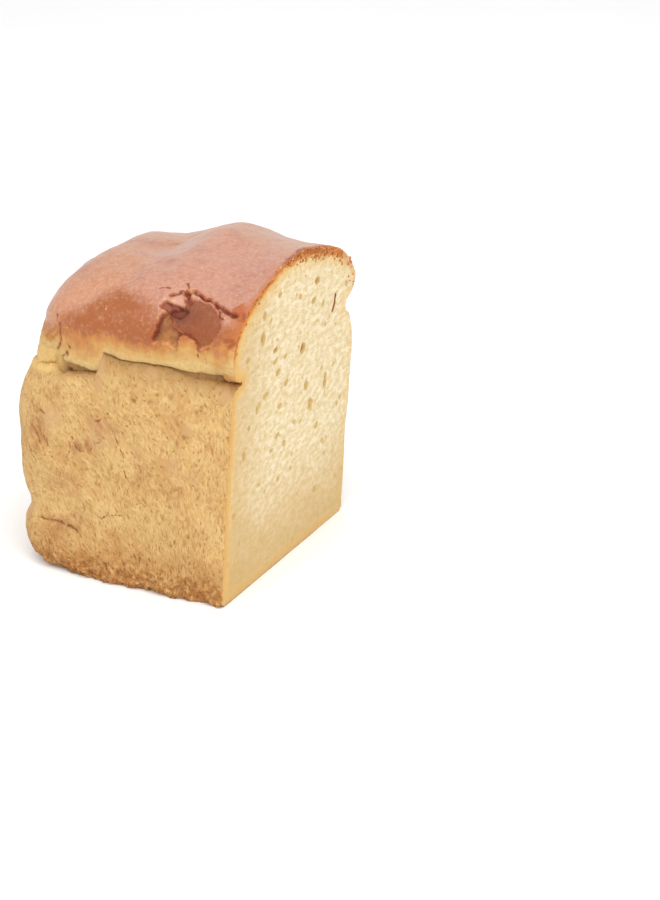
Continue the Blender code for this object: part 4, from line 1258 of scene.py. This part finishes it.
crustCrumbs = {
    "name": "crust_crumbs", "mask": "crusty", "density": 6.0e5, "smallest": 0.15 * mm, "largest": 0.80 * mm,
    "seed": 4, "slot": "crown_crust",
}
crumbBits = {
    "name": "crumb_bits", "mask": "loose", "density": 0.5e5, "smallest": 0.12 * mm, "largest": 0.38 * mm,
    "seed": 9, "slot": "crumb",
}
scatter(crustCrumbs, cutCrumb, bitsMaterial("crustCrumbs", paint(156, 84, 40), paint(206, 136, 74), 0.6))
scatter(crumbBits, cutCrumb, bitsMaterial("crumbBits", paint(206, 170, 108), paint(222, 194, 142), 0.85))


# Floor, light and camera
studio = {
    "floorSize": 8.0, "floorColour": (0.93, 0.93, 0.93, 1.0), "floorShade": (0.915, 0.915, 0.915, 1.0),
    "sky": 0.9, "softboxPower": 22.0, "softboxSize": 1.8, "softboxDistance": 1.5, "softboxAzimuth": 34.0,
    "softboxHeight": 52.0, "softboxAim": 0.06,
}


def makeFloor():
    half = studio["floorSize"] / 2
    mesh = bpy.data.meshes.new("floor")
    corners = [(-half, -half, 0.0), (half, -half, 0.0), (half, half, 0.0), (-half, half, 0.0)]
    mesh.from_pydata(corners, [], [(0, 1, 2, 3)])
    material, tree, shader, at = newMaterial("paleFloor")
    tone = ramp(tree, noise(tree, at, 2.5), 0.3, 0.7)
    shade = blend(tree, tone, studio["floorShade"], studio["floorColour"])
    finishShader(tree, shader, {"Base Color": shade}, {"Roughness": 0.7, "Specular IOR Level": 0.1})
    mesh.materials.append(material)
    newObject("floor", mesh)


def direction(azimuth, elevation):
    a, e = np.radians([azimuth, elevation])
    return Vector((np.sin(a) * np.cos(e), -np.cos(a) * np.cos(e), np.sin(e)))


def makeLight():
    world = bpy.data.worlds.new("studio")
    world.use_nodes = True
    world.node_tree.nodes["Background"].inputs[0].default_value = (1.0, 1.0, 1.0, 1.0)
    world.node_tree.nodes["Background"].inputs[1].default_value = studio["sky"]
    bpy.context.scene.world = world
    lamp = bpy.data.lights.new("softbox", "AREA")
    lamp.shape = "SQUARE"
    lamp.size = studio["softboxSize"]
    lamp.energy = studio["softboxPower"]
    away = direction(studio["softboxAzimuth"], studio["softboxHeight"])
    softbox = newObject("softbox", lamp)
    softbox.location = away * studio["softboxDistance"] + Vector((0.0, 0.0, studio["softboxAim"]))
    softbox.rotation_euler = away.to_track_quat("Z", "Y").to_euler()


# as the photograph was taken: where it looks from, and how far the loaf lies off the middle of the picture
view = {"azimuth": 25.84, "elevation": 22.36, "roll": 0.18, "distance": 0.8976, "aside": 0.0187,
        "above": 0.0436, "lens": 88.0}


def makeCamera():
    forward = -direction(view["azimuth"], view["elevation"])
    right = forward.cross(Vector((0.0, 0.0, 1.0))).normalized()
    up = right.cross(forward)
    roll = Matrix.Rotation(np.radians(view["roll"]), 3, -forward)
    right, up = roll @ right, roll @ up
    camera = newObject("camera", bpy.data.cameras.new("camera"))
    camera.data.sensor_width = 36.0
    camera.data.lens = view["lens"]
    camera.data.clip_start, camera.data.clip_end = 0.01, 50.0
    spot = Vector(place) - forward * view["distance"] + right * view["aside"] + up * view["above"]
    turned = Matrix((right, up, -forward)).transposed().to_4x4()
    camera.matrix_world = Matrix.Translation(spot) @ turned
    bpy.context.scene.camera = camera


makeFloor()
makeLight()
makeCamera()
bpy.context.scene.view_settings.view_transform = "Standard"
print("floor, light and camera set")
